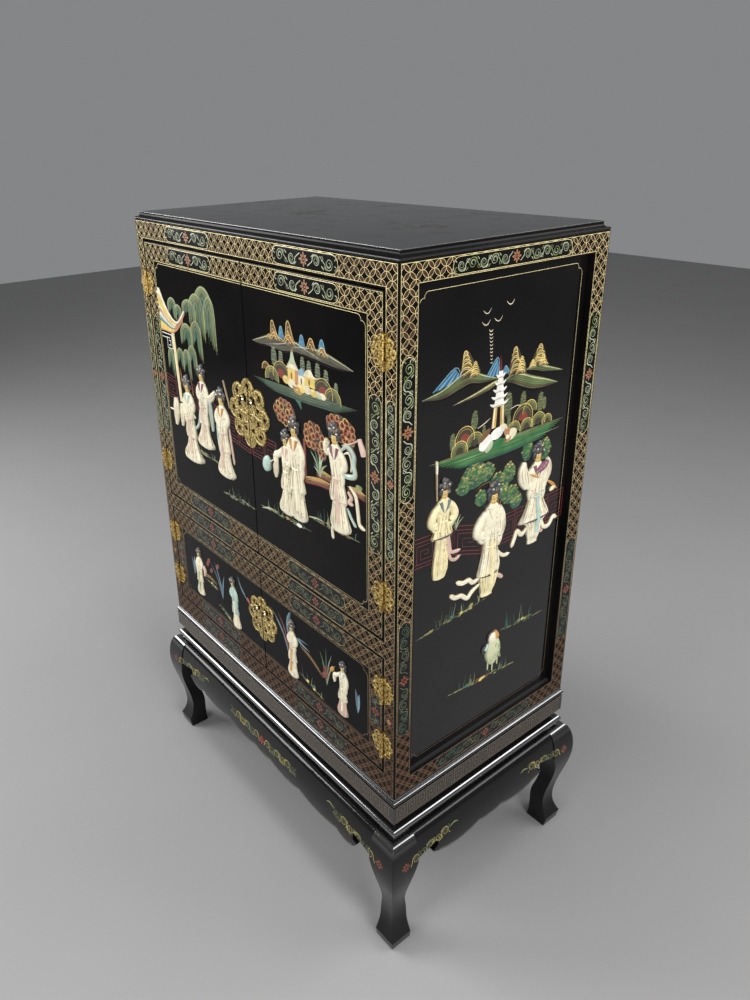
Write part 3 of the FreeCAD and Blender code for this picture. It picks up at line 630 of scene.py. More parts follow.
def smooth(points, steps):
    """More points on a curve that passes through the given ones."""
    if len(points) < 3:
        return [tuple(p) for p in points]
    spots = [np.array(p, float) for p in points]
    padded = [2 * spots[0] - spots[1]] + spots + [2 * spots[-1] - spots[-2]]
    result = []
    for index in range(1, len(padded) - 2):
        a, b, c, d = padded[index - 1:index + 3]
        for step in range(steps):
            t = step / steps
            spot = 0.5 * (2 * b + (c - a) * t + (2 * a - 5 * b + 4 * c - d) * t ** 2
                          + (3 * b - a - 3 * c + d) * t ** 3)
            result.append(tuple(spot))
    result.append(tuple(spots[-1]))
    return result


TAPERS = {
    "both": lambda t: 0.12 + 0.88 * math.sin(math.pi * t) ** 0.7,
    "end": lambda t: 1.0 - 0.9 * t ** 1.5,
    "leaf": lambda t: 0.05 + 0.95 * math.sin(math.pi * t ** 0.8),
    "band": lambda t: min(1.0, 0.5 + 2.5 * t) * math.sqrt(max(0.02, 1 - max(0.0, (t - 0.88) / 0.12) ** 2)),
    "round": lambda t: max(0.1, math.sqrt(max(0.0, 1 - (2 * t - 1) ** 2))),
    "none": lambda t: 1.0,
}


def brush(colour, width, points, layer=1, taper="both", steps=4):
    """A smooth stroke through a few points, with a width that follows a named taper."""
    path = smooth(points, steps)
    if len(path) == 2:
        path = [tuple(np.array(path[0]) + (np.array(path[1]) - np.array(path[0])) * k / 4) for k in range(5)]
    last = len(path) - 1
    widths = [width * TAPERS[taper](k / last) for k in range(len(path))]
    strokes.append((colour, path, widths, layer, False))


def line(colour, width, points, layer=1, closed=False):
    """A ruled line from point to point."""
    strokes.append((colour, list(points), [width] * len(points), layer, closed))


def shaped(colour, widths, points, layer=1):
    """A smooth stroke with a width given at each point."""
    path = smooth([(*p, w) for p, w in zip(points, widths)], 4)
    strokes.append((colour, [p[:-1] for p in path], [max(0.05, p[-1]) for p in path], layer, False))


def around(centre, reach, angle, rise=None):
    """A spot at an angle from a centre; on an oval, where the rise differs from the reach."""
    rise = reach if rise is None else rise
    return (centre[0] + reach * math.cos(angle), centre[1] + rise * math.sin(angle))


def dot(colour, size, at, layer=1, stretch=1.0, angle=0.0):
    """A round or oval spot."""
    reach = size * stretch / 2
    shares = [-math.cos(math.pi * k / 10) for k in range(11)]
    widths = [size * max(0.1, math.sqrt(1 - k * k)) for k in shares]
    strokes.append((colour, [around(at, reach * k, angle) for k in shares], widths, layer, False))


def arc_points(centre, radius, start, end, count=9):
    angles = [math.radians(start + (end - start) * k / (count - 1)) for k in range(count)]
    return [around(centre, radius, angle) for angle in angles]


def spiral_points(centre, radius, start, turns, count):
    """A curl that winds in from its rim to its eye; turns may be negative."""
    result = []
    for k in range(count):
        t = k / (count - 1)
        angle = math.radians(start) + 2 * math.pi * turns * t
        result.append(around(centre, radius * (1 - CURL_DEPTH * t), angle))
    return result


def plane(across, up, outward, at):
    """A matrix from a design in millimetres to a flat surface of the cabinet."""
    turn = Matrix((across, up, outward)).transposed().to_4x4()
    return Matrix.Translation(at) @ turn @ Matrix.Scale(MM, 4)


X_AXIS, Y_AXIS, Z_AXIS = Vector((1, 0, 0)), Vector((0, 1, 0)), Vector((0, 0, 1))
FRONT = plane(X_AXIS, Z_AXIS, -Y_AXIS, (0, FRONT_Y, 0))
STILES = plane(Y_AXIS, Z_AXIS, X_AXIS, (STILE_X, 0, 0))
PANEL = plane(Y_AXIS, Z_AXIS, X_AXIS, (PANEL_X, 0, 0))


def select_only(*pieces):
    bpy.ops.object.select_all(action="DESELECT")
    for piece in pieces:
        piece.select_set(True)
    bpy.context.view_layer.objects.active = pieces[0]


def strokes_to_mesh(name, bevel_steps):
    """One mesh from all the strokes so far, still round and with its layers far apart."""
    colours = sorted({stroke[0] for stroke in strokes})
    curve = bpy.data.curves.new(name, "CURVE")
    curve.dimensions = "3D"
    curve.twist_mode = "Z_UP"
    curve.bevel_depth = 1.0
    curve.bevel_resolution = bevel_steps
    curve.use_fill_caps = True
    for colour in colours:
        curve.materials.append(PAINTS[colour])
    for colour, points, widths, layer, closed in strokes:
        spline = curve.splines.new("POLY")
        spline.points.add(len(points) - 1)
        spots = []
        for u, v, *lift in points:
            spots += [u, v, layer * LAYER_GAP + sum(lift), 1.0]
        spline.points.foreach_set("co", spots)
        spline.points.foreach_set("radius", [width / 2 for width in widths])
        spline.use_cyclic_u = closed
        spline.material_index = colours.index(colour)
    strokes.clear()
    piece = bpy.data.objects.new(name, curve)
    bpy.context.collection.objects.link(piece)
    select_only(piece)
    bpy.ops.object.convert(target="MESH")
    return bpy.context.object


def mesh_spots(mesh):
    spots = np.empty(len(mesh.vertices) * 3, np.float32)
    mesh.vertices.foreach_get("co", spots)
    return spots.reshape(-1, 3)


def press_flat(mesh):
    """Turns round strokes into thin films: edges at their layer, crown above, underside in the lacquer."""
    spots = mesh_spots(mesh)
    layers = np.round(spots[:, 2] / LAYER_GAP)
    rise = spots[:, 2] - layers * LAYER_GAP
    edge = layers * LAYER_RISE_MM
    crown = np.where(rise > EDGE_TOLERANCE_MM, edge + PAINT_RISE_MM, edge)
    spots[:, 2] = np.where(rise < -EDGE_TOLERANCE_MM, -PAINT_SINK_MM, crown)
    mesh.vertices.foreach_set("co", spots.ravel())


def settle(piece, surface, body, slot):
    """Puts a finished mesh on its surface and lets it ride on its body."""
    piece.data.transform(surface)
    if surface.determinant() < 0:
        piece.data.flip_normals()
    piece.data.update()
    select_only(piece)
    if slot == "lacquer":
        bpy.ops.object.shade_smooth_by_angle(angle=math.radians(CREASE_DEGREES))
    else:
        bpy.ops.object.shade_smooth()
    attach(piece, body)
    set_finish(piece, slot)
    print(piece.name, "on", body, len(piece.data.polygons), "faces")
    return piece


def paint(name, body, surface):
    piece = strokes_to_mesh(name, 0)
    press_flat(piece.data)
    return settle(piece, surface, body, "lacquer")


def mirrored(piece, name, body):
    """A copy on the other side of the cabinet, with its own mesh."""
    copy = piece.copy()
    copy.data = piece.data.copy()
    copy.name = name
    copy.parent = None
    bpy.context.collection.objects.link(copy)
    return settle(copy, Matrix.Scale(-1, 4, X_AXIS), body, piece["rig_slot"])


def on_both_sides(name, make, *arguments):
    """A piece on the right side of the cabinet, and its mirror image on the left."""
    mirrored(make("right_" + name, "cabinet", *arguments), "left_" + name, "cabinet")


# %% [markdown]
# ## Gold borders
# Each border strip is edged by a ruled gold line, and each painted field by a second, finer line whose
# corners step in with a small cusp. Lines on the frame and lines on a door are separate pieces, because
# the doors move.

# %% Gold borders
CUSP_CORNER = ((-16, 0), (-12.5, -1), (-9.5, -4.5), (-9, -9), (-7, -7.6), (-3, -9.5), (-0.6, -13), (0, -16))
BORDER_WIDTH = 0.8
FINE_WIDTH = 0.6
MEETING_EDGE = 2.2
DOORS = [(row, row + "_" + hand, side) for row in DOOR_BORDERS for hand, side in (("left", -1), ("right", 1))]


def ruled_box(half, low, high):
    line("gold", BORDER_WIDTH, [(-half, low), (half, low), (half, high), (-half, high)], 1, True)


def cusp_corner(u, v, side, rise):
    """The stepped corner of a fine field line; side and rise say which corner it is."""
    return [(u + side * du, v + rise * dv) for du, dv in CUSP_CORNER]


def door_border(row, side):
    """The gold lines of a door: its edge, its field, and a fine line inside with stepped corners."""
    borders = DOOR_BORDERS[row]
    middle = side * MEETING_EDGE
    for key, width in (("edge", FINE_WIDTH), ("field", BORDER_WIDTH)):
        far, low, high = borders[key]
        line("gold", width, [(middle, low), (side * far, low), (side * far, high), (middle, high)])
    far, low, high = borders["inner"]
    lower = cusp_corner(side * far, low, side, -1)
    upper = cusp_corner(side * far, high, side, 1)
    line("gold", FINE_WIDTH, [(middle, low)] + lower + upper[::-1] + [(middle, high)])


for box in (FRAME_OUTER, UPPER_OPENING, LOWER_OPENING):
    ruled_box(*box)
paint("frame_gold_lines", "cabinet", FRONT)
for row, door, side in DOORS:
    door_border(row, side)
    paint(door + "_gold_lines", door + "_door", FRONT)


def panel_line():
    half, low, high = PANEL_LINE
    loop = []
    for side, rise in ((1, -1), (1, 1), (-1, 1), (-1, -1)):
        corner = cusp_corner(side * half, high if rise > 0 else low, side, rise)
        loop += corner if side * rise < 0 else corner[::-1]
    line("gold", FINE_WIDTH, loop, 1, True)


ruled_box(*SIDE_OUTER)
ruled_box(*SIDE_INNER)
on_both_sides("side_gold_lines", paint, STILES)
panel_line()
on_both_sides("panel_gold_line", paint, PANEL)

# %% [markdown]
# ## Cartouches
# The lattice is broken by long black reserves with round ends, called cartouches. Each has a gold outline,
# a red flower in the middle and scrolling stems to both sides. One function draws them all, lying or
# standing, from a length and a height: the stem is a wave, and a curl grows from every swing of it.

# %% Cartouches
LOW_BORDERS = 660.0
HIGH_SCROLLS = ("celadon", "sage", "celadon", "moss")
LOW_SCROLLS = ("dusk", "olive", "dusk", "deep")
END_SHARES = (0.03, 0.14, 0.32, 0.55, 0.8, 1.0)


def turn_to(centre, spot, upright):
    """A spot along and across a cartouche, on the surface."""
    along, across = spot
    return (centre[0] - across, centre[1] + along) if upright else (centre[0] + along, centre[1] + across)


def stadium(centre, half_length, half_height, upright):
    """Path and widths of a bar with round ends, and its outline."""
    start = [-half_length + half_height * share for share in END_SHARES]
    widths = [2 * half_height * math.sqrt(1 - (1 - share) ** 2) for share in END_SHARES]
    path = [turn_to(centre, (run, 0), upright) for run in start + [-run for run in start[::-1]]]
    outline = arc_points((half_length - half_height, 0), half_height, -90, 90)
    outline += arc_points((half_height - half_length, 0), half_height, 90, 270)
    return path, widths + widths[::-1], [turn_to(centre, spot, upright) for spot in outline]


def flower(centre, size, layer=3, petals="rose", second="brown"):
    """Eight pointed petals, each a dark leaf with a thin light outline, round an eye."""
    def at(reach, angle):
        return around(centre, size * reach, angle)

    for k in range(8):
        angle = math.pi * k / 4
        reach = 0.48 if k % 2 == 0 else 0.4
        brush(second, size * 0.12, [at(0.12, angle), at(reach, angle)], layer, "leaf")
        for lean in (-0.24, 0.24):
            petal = [at(0.14, angle), at(reach * 0.62, angle + lean), at(reach, angle)]
            brush(petals, 0.7, petal, layer + 1, "none", 3)
    dot(petals, size * 0.12, centre, layer + 1)


def scroll(place, length, height, colours, layer=2, pace=2.2):
    """A thin stem that swings from side to side; each swing winds into a double curl with leaves."""
    curls = max(2, round(length / (pace * height)))
    step = length / curls
    thick = max(0.6, height * 0.1)
    for k in range(curls):
        up = 1 if k % 2 == 0 else -1
        colour, other = colours[k % len(colours)], colours[(k + 1) % len(colours)]
        eye = (step * (k + 0.55), up * height * 0.06)
        reach = min(step * 0.58, height * 0.86)
        start = (step * (k - 0.15), -up * height * 0.72)
        outer = spiral_points(eye, reach, 190, -1.6 * up, 20)
        brush(colour, thick * 1.3, [place(p) for p in [start] + outer], layer, "end", 2)
        inner = spiral_points(eye, reach * 0.74, 150, -0.9 * up, 10)
        brush(other, thick, [place(p) for p in inner], layer, "both", 2)
        hook = spiral_points((step * (k + 1.0), up * height * 0.56), height * 0.36, 250 * up, 0.85 * up, 8)
        brush(other, thick, [place(p) for p in hook], layer, "end", 2)
        for share, rise in ((0.15, 0.92), (0.95, -0.9)):
            root = (step * (k + share), up * height * rise * 0.45)
            tip = (step * (k + share + 0.22), up * height * rise)
            brush(colour, thick * 1.5, [place(root), place(tip)], layer, "leaf", 2)


def cartouche(centre, half_length, half_height, upright=False):
    """A black reserve edged in gold, with a flower in the middle; low ones are painted in duller colours."""
    low = centre[1] < LOW_BORDERS
    path, widths, outline = stadium(centre, half_length, half_height, upright)
    strokes.append(("black", path, widths, 2, False))
    line("gold", FINE_WIDTH, outline, 3, True)
    size = half_height * 1.7
    flower(centre, size, 4, "rust" if low else "rose")
    reach = half_length - half_height * 0.5 - size * 0.6
    for side in (-1, 1):
        def place(p, side=side):
            return turn_to(centre, (side * (size * 0.6 + p[0]), side * p[1]), upright)

        scroll(place, reach, half_height * 0.84, LOW_SCROLLS if low else HIGH_SCROLLS, 3)


CARTOUCHE_X = 172.0
CARTOUCHE_HALF = 78.0
POST_X, DOOR_STILE_X, SIDE_STILE_Y = 356.2, 324.0, 199.3
for side in (-1, 1):
    for height, half in ((1172.0, 13.0), (610.0, 12.3), (350.5, 13.6)):
        cartouche((side * CARTOUCHE_X, height), CARTOUCHE_HALF, half)
    cartouche((side * POST_X, 890.0), 120.0, 8.8, True)
    flower((side * POST_X, 481.0), 11.0)
paint("frame_cartouches", "cabinet", FRONT)

DOOR_CARTOUCHES = {"upper": (1133.5, 646.0), "lower": (573.0, 389.5)}
STANDING_CARTOUCHES = {"upper": (890.0, 121.0, 12.8), "lower": (481.0, 31.0, 12.4)}
for row, door, side in DOORS:
    for height in DOOR_CARTOUCHES[row]:
        cartouche((side * CARTOUCHE_X, height), CARTOUCHE_HALF, 13.4)
    height, half_length, half_height = STANDING_CARTOUCHES[row]
    cartouche((side * DOOR_STILE_X, height), half_length, half_height, True)
    paint(door + "_cartouches", door + "_door", FRONT)

for along in (-SIDE_STILE_Y, SIDE_STILE_Y):
    cartouche((along, 965.0), 103.0, 12.6, True)
    cartouche((along, 560.0), 106.0, 12.6, True)
cartouche((0.0, 1173.8), 124.0, 11.4)
cartouche((0.0, 347.4), 124.0, 11.8)
on_both_sides("side_cartouches", paint, STILES)

# %% [markdown]
# ## Key fret
# The flat band of the base moulding carries a running key pattern in dull gold. A key is a square line
# that turns inwards on itself. It is drawn once in a box of ten by ten and repeated along each side, with
# the spacing stretched a little so that whole keys fit between the corners.

# %% Key fret
BAND_PROUD = 3.0 * MM
BAND_LOW, BAND_HIGH, BAND_PAST = 281.6, 312.4, 3.0
KEY_LOW, KEY_HEIGHT, KEY_PITCH = 286.0, 22.0, 23.0
KEY_PATH = ((0, 0), (0, 10), (7.6, 10), (7.6, 2.6), (2.6, 2.6), (2.6, 7.2), (5.1, 7.2), (5.1, 4.9))
KEY_BOX = 10
KEY_LINE = 1.0
FRONT_FRET_HALF, SIDE_FRET_HALF = 366.0, 213.0


def key_fret(half):
    """Whole keys along a band, with the three lines that bound it."""
    count = round(2 * half / KEY_PITCH)
    pitch = 2 * half / count
    for index in range(count):
        start = -half + index * pitch
        spots = [(start + x * pitch / KEY_BOX, KEY_LOW + y * KEY_HEIGHT / KEY_BOX) for x, y in KEY_PATH]
        for first, second in zip(spots, spots[1:]):
            line("dull gold", KEY_LINE, [first, second])
    line("dull gold", KEY_LINE, [(-half, KEY_LOW), (half, KEY_LOW)])
    for height in (BAND_LOW, BAND_HIGH):
        line("dull gold", KEY_LINE, [(-half - BAND_PAST, height), (half + BAND_PAST, height)])


key_fret(FRONT_FRET_HALF)
paint("front_key_fret", "cabinet", Matrix.Translation((0, -BAND_PROUD, 0)) @ FRONT)
key_fret(SIDE_FRET_HALF)
on_both_sides("key_fret", paint, Matrix.Translation((BAND_PROUD, 0, 0)) @ STILES)

# %% [markdown]
# ## Painted hills, trees and water
# Landscape painting on lacquer is built from a few habits of the brush: hills are nested arches, bushes
# are fans of rings, pines are pads of short dashes, shores are long strokes that thin out. Each habit is
# one function that takes a place and a size in millimetres, so that a picture is a list of calls. Small
# differences between strokes come from a random generator with a fixed seed.

# %% Hills and shores
BELL = ((-1, 0), (-0.7, 0.24), (-0.46, 0.62), (-0.26, 0.9), (0.02, 1), (0.28, 0.88), (0.5, 0.56),
        (0.74, 0.22), (1, 0))


def crag(centre, base, width, height, palette, lean=0.0, layer=3):
    """A far peak: a dark bell with a light outline, and lines inside that follow it and lean with it."""
    outline, body, inner = palette
    shaped(body, (width * 0.9, width * 0.66, width * 0.5, width * 0.32, 1.0),
           [(centre + lean * t, base + height * t) for t in (0.0, 0.25, 0.6, 0.88, 1.0)], layer)
    for index, share in enumerate((1.0, 0.74, 0.5, 0.3)):
        half, rise = width / 2 * share, height * share
        shift = (1 - share) * width * 0.12 * (index % 2 * 2 - 1)
        arch = [(centre + shift + lean * t * share + s * half, base + t * rise) for s, t in BELL]
        brush(outline if index % 2 == 0 else inner, width * 0.04 + 0.4, arch, layer + 1, "both", 3)


def ledge_rock(centre, base, width, height, lean=0.0, layer=3):
    """A steep near rock: a dark body with drooping outlines in yellow, one for each ledge."""
    rng = random.Random(int(centre * 7 + height))
    shaped("umber", (width * 0.95, width * 0.8, width * 0.52, width * 0.3, 2.0),
           [(centre + lean * t, base + height * t) for t in (0.0, 0.35, 0.7, 0.9, 1.0)], layer)
    for index in range(6):
        t = 0.1 + 0.9 * (index + 1) / 6
        half = width / 2 * (1.02 - 0.72 * t)
        u = centre + lean * t + rng.uniform(-0.16, 0.16) * width * (1.1 - t)
        droop = rng.uniform(0.12, 0.32)
        ledge = ((-1, droop), (-0.6, 0.05), (0, 0), (0.6, 0.07), (1, 0.44 - droop))
        for colour, thick, drop in (("yellow", 1.6, 0.0), ("cream" if index % 2 else "ochre", 0.8, 2.6)):
            v = base + height * t - drop
            rim = [(u + half * s, v - height * fall) for s, fall in ledge]
            brush(colour, thick, rim, layer + 1, "both", 3)


def slope(ridge, palette, thickness, layer=2):
    """A hillside: its ridge line, bands of colour below it that close up at both ends, and dry streaks."""
    path = smooth(ridge, 4)
    last = len(path) - 1

    def below(drop):
        return [(u, v - drop * thickness * math.sin(math.pi * k / last)) for k, (u, v) in enumerate(path)]

    for index, colour in enumerate(palette):
        brush(colour, thickness * 1.5, below(index), layer, "both", 1)
    for index in range(2 * len(palette) - 3):
        start = index * 5 % max(1, last // 2)
        streak = below(0.5 + index * 0.5)[start:start + last // 2 + 2]
        brush(palette[0] if index % 2 else "umber", 0.7, streak, layer + 1, "both", 1)
    brush("cream", 1.0, ridge, layer + 1)


def blue_peak(left, peak, right, layer=2):
    """A far peak in blues, stroked from its foot up to its top, lighter along its edge."""
    for index in range(15):
        share = index / 14
        foot = (left[0] + (right[0] - left[0]) * share, left[1] + (right[1] - left[1]) * share)
        tip = (peak[0] + (right[0] - peak[0]) * share * 0.6, peak[1] - (peak[1] - right[1]) * share * 0.55)
        brush(("blue", "deep blue", "blue", "sky")[index % 4], 3.0, [foot, tip], layer, "band")
    brush("sky", 1.0, [left, peak, right], layer + 1, "both")


def shore(start, end, depth, palette, layer=2):
    """A bank of land in water: long strokes one under another, each shorter than the last."""
    run = np.array(end) - np.array(start)
    for index, colour in enumerate(palette):
        share = index / len(palette)
        drop = np.array((0, depth * share))
        first = np.array(start) + run * share * 0.22 - drop
        last = np.array(end) - run * share * 0.18 - drop
        middle = (first + last) / 2 - np.array((0, depth * 0.06))
        brush(colour, depth * 1.9 / len(palette), [first, middle, last], layer, "both", 6)


print("brush habits for hills and shores ready")

# %% Trees and grasses
NEEDLE = 3.0


def fan_bush(centre, radius, palette, layer=3):
    """A clipped bush: a half disc that darkens inwards, with a thin light rim and a fine ring inside."""
    outer, inner = palette
    dot(inner, radius * 0.6, (centre[0], centre[1] + radius * 0.08), layer)
    for colour, share in ((outer, 0.84), (outer, 0.56), (inner, 0.36)):
        brush(colour, radius * 0.36, arc_points(centre, radius * share, -14, 194, 11), layer, "none", 1)
    brush("yellow", 1.1, arc_points(centre, radius, -14, 194, 13), layer + 1, "none", 1)
    brush("straw", 0.8, arc_points(centre, radius * 0.8, -8, 188, 11), layer + 1, "both", 1)


def cypress(foot, height, layer=2, colours=("dusk", "moss", "straw")):
    """A small tree of stacked tufts: a dark flame, with light half rings for the tufts."""
    rng = random.Random(int(foot[0] * 10 + foot[1]))
    shaped(colours[0], (2, height * 0.4, height * 0.34, 2),
           [(foot[0], foot[1] + height * share) for share in (0, 0.35, 0.75, 1)], layer)
    for row in range(6):
        for side in (-1, 0, 1):
            share = 0.14 + row * 0.14 + rng.uniform(-0.03, 0.03)
            reach = height * 0.13 * (1.1 - abs(share - 0.45))
            ring = arc_points((foot[0] + side * reach, foot[1] + height * share), height * 0.07, 10, 170, 5)
            brush(rng.choice((colours[1], colours[2])), 0.9, ring, layer + 1, "both", 1)


def in_oval(rng, centre, width, height, most):
    """A random spot in an oval, out to a share of its size."""
    angle, reach = rng.uniform(0, 2 * math.pi), math.sqrt(rng.random()) * most
    return around(centre, width / 2 * reach, angle, height / 2 * reach)


def pine_pad(centre, width, height, seed, layer=2):
    """A pad of pine needles: a dark cushion, then small fans of needles over it and past its edge."""
    rng = random.Random(seed)
    dot("deep", height * 0.96, centre, layer, width / height)
    dot("pine", height * 0.86, (centre[0], centre[1] + height * 0.03), layer, width / height)
    for index in range(int(width * height / 26)):
        spot = in_oval(rng, centre, width, height, 0.96)
        bright = (spot[1] - centre[1]) / height + rng.uniform(-0.5, 0.5)
        colour = "leaf"
        for least, lighter in ((-0.1, "moss"), (0.2, "straw"), (0.62, "yellow")):
            colour = lighter if bright > least else colour
        for turn in (0.5, 1.3, 2.1, 2.8):
            line(colour, 0.8, [spot, around(spot, NEEDLE, turn)], layer + 1)


def willow(centre, top, width, drop, layer=2):
    """A hanging willow tuft: arches one inside the other, light outside, that fall far on one side."""
    def arch(half, crown, left, right):
        bend = crown - drop * 0.2
        return [(centre - half, top - drop * left), (centre - half * 0.88, bend), (centre, crown),
                (centre + half * 0.88, bend), (centre + half, top - drop * right)]

    for index, colour in enumerate(("moss", "olive", "dusk", "teal", "deep")):
        crown = top - width * 0.05 - index * drop * 0.05
        path = arch(width * 0.46 * (1 - index * 0.19), crown, 0.7 - 0.05 * index, 1.0 - 0.06 * index)
        brush(colour, width * 0.17, path, layer, "both", 5)
    for share, colour in ((1.0, "celadon"), (0.72, "sage"), (0.4, "moss")):
        path = arch(width * 0.5 * share, top - (1 - share) * drop * 0.3, 0.66, 0.94)
        brush(colour, 1.1, path, layer + 1, "both", 5)


def tuft(left, right, seed, blade=20.0, flowers=("yellow", "rust", "straw", "teal"), layer=2):
    """A strip of meadow: rough ground that thins out at its ends, some blades of grass, and a few flowers."""
    rng = random.Random(seed)
    run, climb = right[0] - left[0], right[1] - left[1]

    def along(share, rise=0.0):
        return (left[0] + run * share, left[1] + climb * share + rise)

    for index in range(int(run / 3)):
        share = rng.random()
        spread = 4.0 * math.sin(math.pi * share)
        u, v = along(share, rng.uniform(-spread, spread))
        reach = rng.uniform(2.5, 6.5)
        brush(rng.choice(("olive", "straw", "dusk", "umber", "moss", "deep")), rng.uniform(1.2, 2.8),
              [(u - reach, v - climb / run * reach), (u + reach, v + climb / run * reach)], layer)
    for index in range(max(6, int(run / 11))):
        foot = along(rng.uniform(0.12, 0.95))
        lean = rng.uniform(-0.3, 0.25) * blade
        tip = (foot[0] + lean, foot[1] + blade * rng.uniform(0.35, 1.0))
        brush(rng.choice(("dusk", "deep", "teal", "sage")), 1.5,
              [foot, (foot[0] + lean * 0.3, foot[1] + blade * 0.35), tip], layer, "end", 3)
    for index in range(max(3, int(run / 30))):
        spot = along(rng.uniform(0.25, 0.85), rng.uniform(-1, 4))
        for turn in (0.4, 2.4, 4.4):
            tip = around(spot, 7, turn + index, 4)
            brush(rng.choice(("leaf", "teal", "moss")), 3.2, [spot, tip], layer + 1, "leaf")
        dot(rng.choice(flowers), rng.uniform(4.0, 6.5), spot, layer + 2, 1.5, 0.3)


def blossom_head(centre, width, height, seed, layer=2):
    """The crown of a blossom tree: a dark oval, and on it light rings, each round a dark heart."""
    rng = random.Random(seed)
    dot("umber", height * 0.98, centre, layer, width / height)
    spots = []
    for trial in range(260):
        spot = in_oval(rng, centre, width, height, 0.84)
        if all(math.dist(spot, other) > 8.6 for other in spots):
            spots.append(spot)
    for spot in spots:
        size = rng.uniform(11.5, 14.5)
        petals = rng.choice(("apricot", "apricot", "tan", "yellow"))
        brush(petals, 1.3, arc_points(spot, size * 0.42, 0, 350, 10), layer + 1, "none", 1)
        dot(rng.choice(("rust", "crimson", "crimson")), size * 0.58, spot, layer + 2)
        dot("black", size * 0.24, spot, layer + 3)
        for turn in (0.6, 2.7, 4.8):
            dot("ochre", 1.4, around(spot, size * 0.3, turn), layer + 3)


def leaf_spray(foot, tips, colours, width, layer=2):
    """Long leaves from one foot."""
    for index, tip in enumerate(tips):
        bend = (foot[0] * 0.45 + tip[0] * 0.55 + (tip[0] - foot[0]) * -0.18, foot[1] * 0.4 + tip[1] * 0.6)
        brush(colours[index % len(colours)], width, [foot, bend, tip], layer, "leaf")


print("brush habits for trees and grasses ready")

# %% [markdown]
# ## Painted buildings
# The pagoda and the garden fences are ruled work. A fence is drawn on a unit square and then laid into a
# slanting quadrilateral, which gives it the oblique perspective that this kind of picture uses.

# %% Buildings
PAGODA_ROOF = ((-0.56, 0.62), (-0.32, 0.3), (0, 0.4), (0.32, 0.3), (0.56, 0.62))
PAGODA_LEGS = (("ochre", 0.26, 0.22, 0.26, 0.2, 0), ("cream", 0.08, 0.08, 0.3, 0.24, 1))
LEG_LENGTH, LEG_LAP = 34, 2


def fence(left, right, tops, bottoms, bays):
    """A fret fence between two upright ends: rails, posts and a square spiral in each bay."""
    def at(s, t):
        upper = tops[0] + (tops[1] - tops[0]) * s
        lower = bottoms[0] + (bottoms[1] - bottoms[0]) * s
        return (left + (right - left) * s, upper + (lower - upper) * t)

    for rail in (0.0, 0.14, 0.88, 1.0):
        line("fence red", 1.25, [at(0, rail), at(1, rail)])
    fret = ((0.12, 0.26), (0.88, 0.26), (0.88, 0.74), (0.3, 0.74), (0.3, 0.44), (0.68, 0.44), (0.68, 0.58),
            (0.48, 0.58))
    for bay in range(bays + 1):
        line("fence red", 1.45, [at(bay / bays, 0), at(bay / bays, 1)])
    for bay in range(bays):
        line("fence red", 1.05, [at((bay + s) / bays, t) for s, t in fret])
        line("fence red", 1.05, [at((bay + 0.12) / bays, 0.26), at((bay + 0.12) / bays, 0.88)])


def pagoda(foot, tiers, width, tier_height, layer=4):
    """A white tower of stepped roofs on two legs, with a dark red spire."""
    u, v = foot
    for side in (-1, 1):
        for colour, low_width, high_width, low, high, above in PAGODA_LEGS:
            shaped(colour, (width * low_width, width * high_width),
                   [(u + side * width * low, v), (u + side * width * high, v + LEG_LENGTH)], layer + above)
    level = v + LEG_LENGTH - LEG_LAP
    for tier in range(tiers):
        share = 1 - 0.13 * tier
        shaped("white", (width * 0.66 * share, width * 0.5 * share),
               [(u, level), (u, level + tier_height)], layer)
        roof = [(u + width * s * share, level + tier_height * t) for s, t in PAGODA_ROOF]
        brush("white", tier_height * 0.5, roof, layer + 1, "both", 3)
        brush("brown", 0.9, [(a, b - tier_height * 0.24) for a, b in roof], layer + 2, "both", 3)
        dot("red", 1.5, (u, level + tier_height * 0.12), layer + 2, 1.6, math.pi / 2)
        level += tier_height
    brush("crimson", 5.0, [(u, level - 2), (u - 1, level + 10), (u - 3, level + 23)], layer, "end")
    brush("fence red", 1.8, [(u + 1, level), (u - 1, level + 16)], layer + 1, "end")


print("ruled buildings ready")

# %% [markdown]
# ## The side painting
# The side panel shows a lake shore with a pagoda under far mountains, pines and a fence behind the figures,
# and meadow below. It is painted once, on the right panel, and copied in mirror image to the left panel.

# %% Side painting
PICTURE = PANEL @ Matrix.Translation((13.8, -21.4, 0)) @ Matrix.Diagonal((1.016, 1.016, 1.0, 1.0))
for u, v in ((-53, 1106), (-5, 1112), (-54, 1090), (-29, 1092)):
    brush("cream", 1.25, [(u - 9, v + 2), (u - 3, v - 3), (u + 3, v - 3), (u + 8, v + 3)])
for step in range(10):
    flight = (-43 + step * 0.5, 1080 - step * 5.4)
    brush("cream", 1.2, arc_points(flight, 4.2 - step * 0.26, 190, 340, 5))

SIDE_HILLS = ("moss", "olive", "leaf", "olive", "umber", "umber", "black")
slope([(-174, 1003), (-135, 1009), (-104, 1022), (-80, 1026), (-56, 1015), (-20, 1003)], SIDE_HILLS, 3.4)
slope([(-114, 983), (-70, 990), (-44, 996), (-26, 1000), (-10, 1000)],
      ("straw", "olive", "umber", "black"), 2.6)
slope([(-12, 996), (8, 1002), (30, 999), (58, 989), (90, 979), (119, 969)], SIDE_HILLS, 3.4)
slope([(38, 1004), (60, 1008), (88, 1000), (128, 987)], ("moss", "olive", "leaf", "umber", "black"), 2.6)
blue_peak((-154, 1010), (-112, 1037), (-98, 1018))
blue_peak((-50, 1008), (-26, 1036), (-20, 1008))
blue_peak((-14, 1008), (-7, 1020), (4, 1006))
for rock in ((-84, 1018, 36, 39, -8), (-72, 1016, 26, 22), (17, 1000, 38, 44, -4), (28, 1000, 28, 27),
             (67, 1005, 40, 33, 3), (78, 1003, 26, 18), (54, 1005, 22, 12)):
    ledge_rock(*rock)

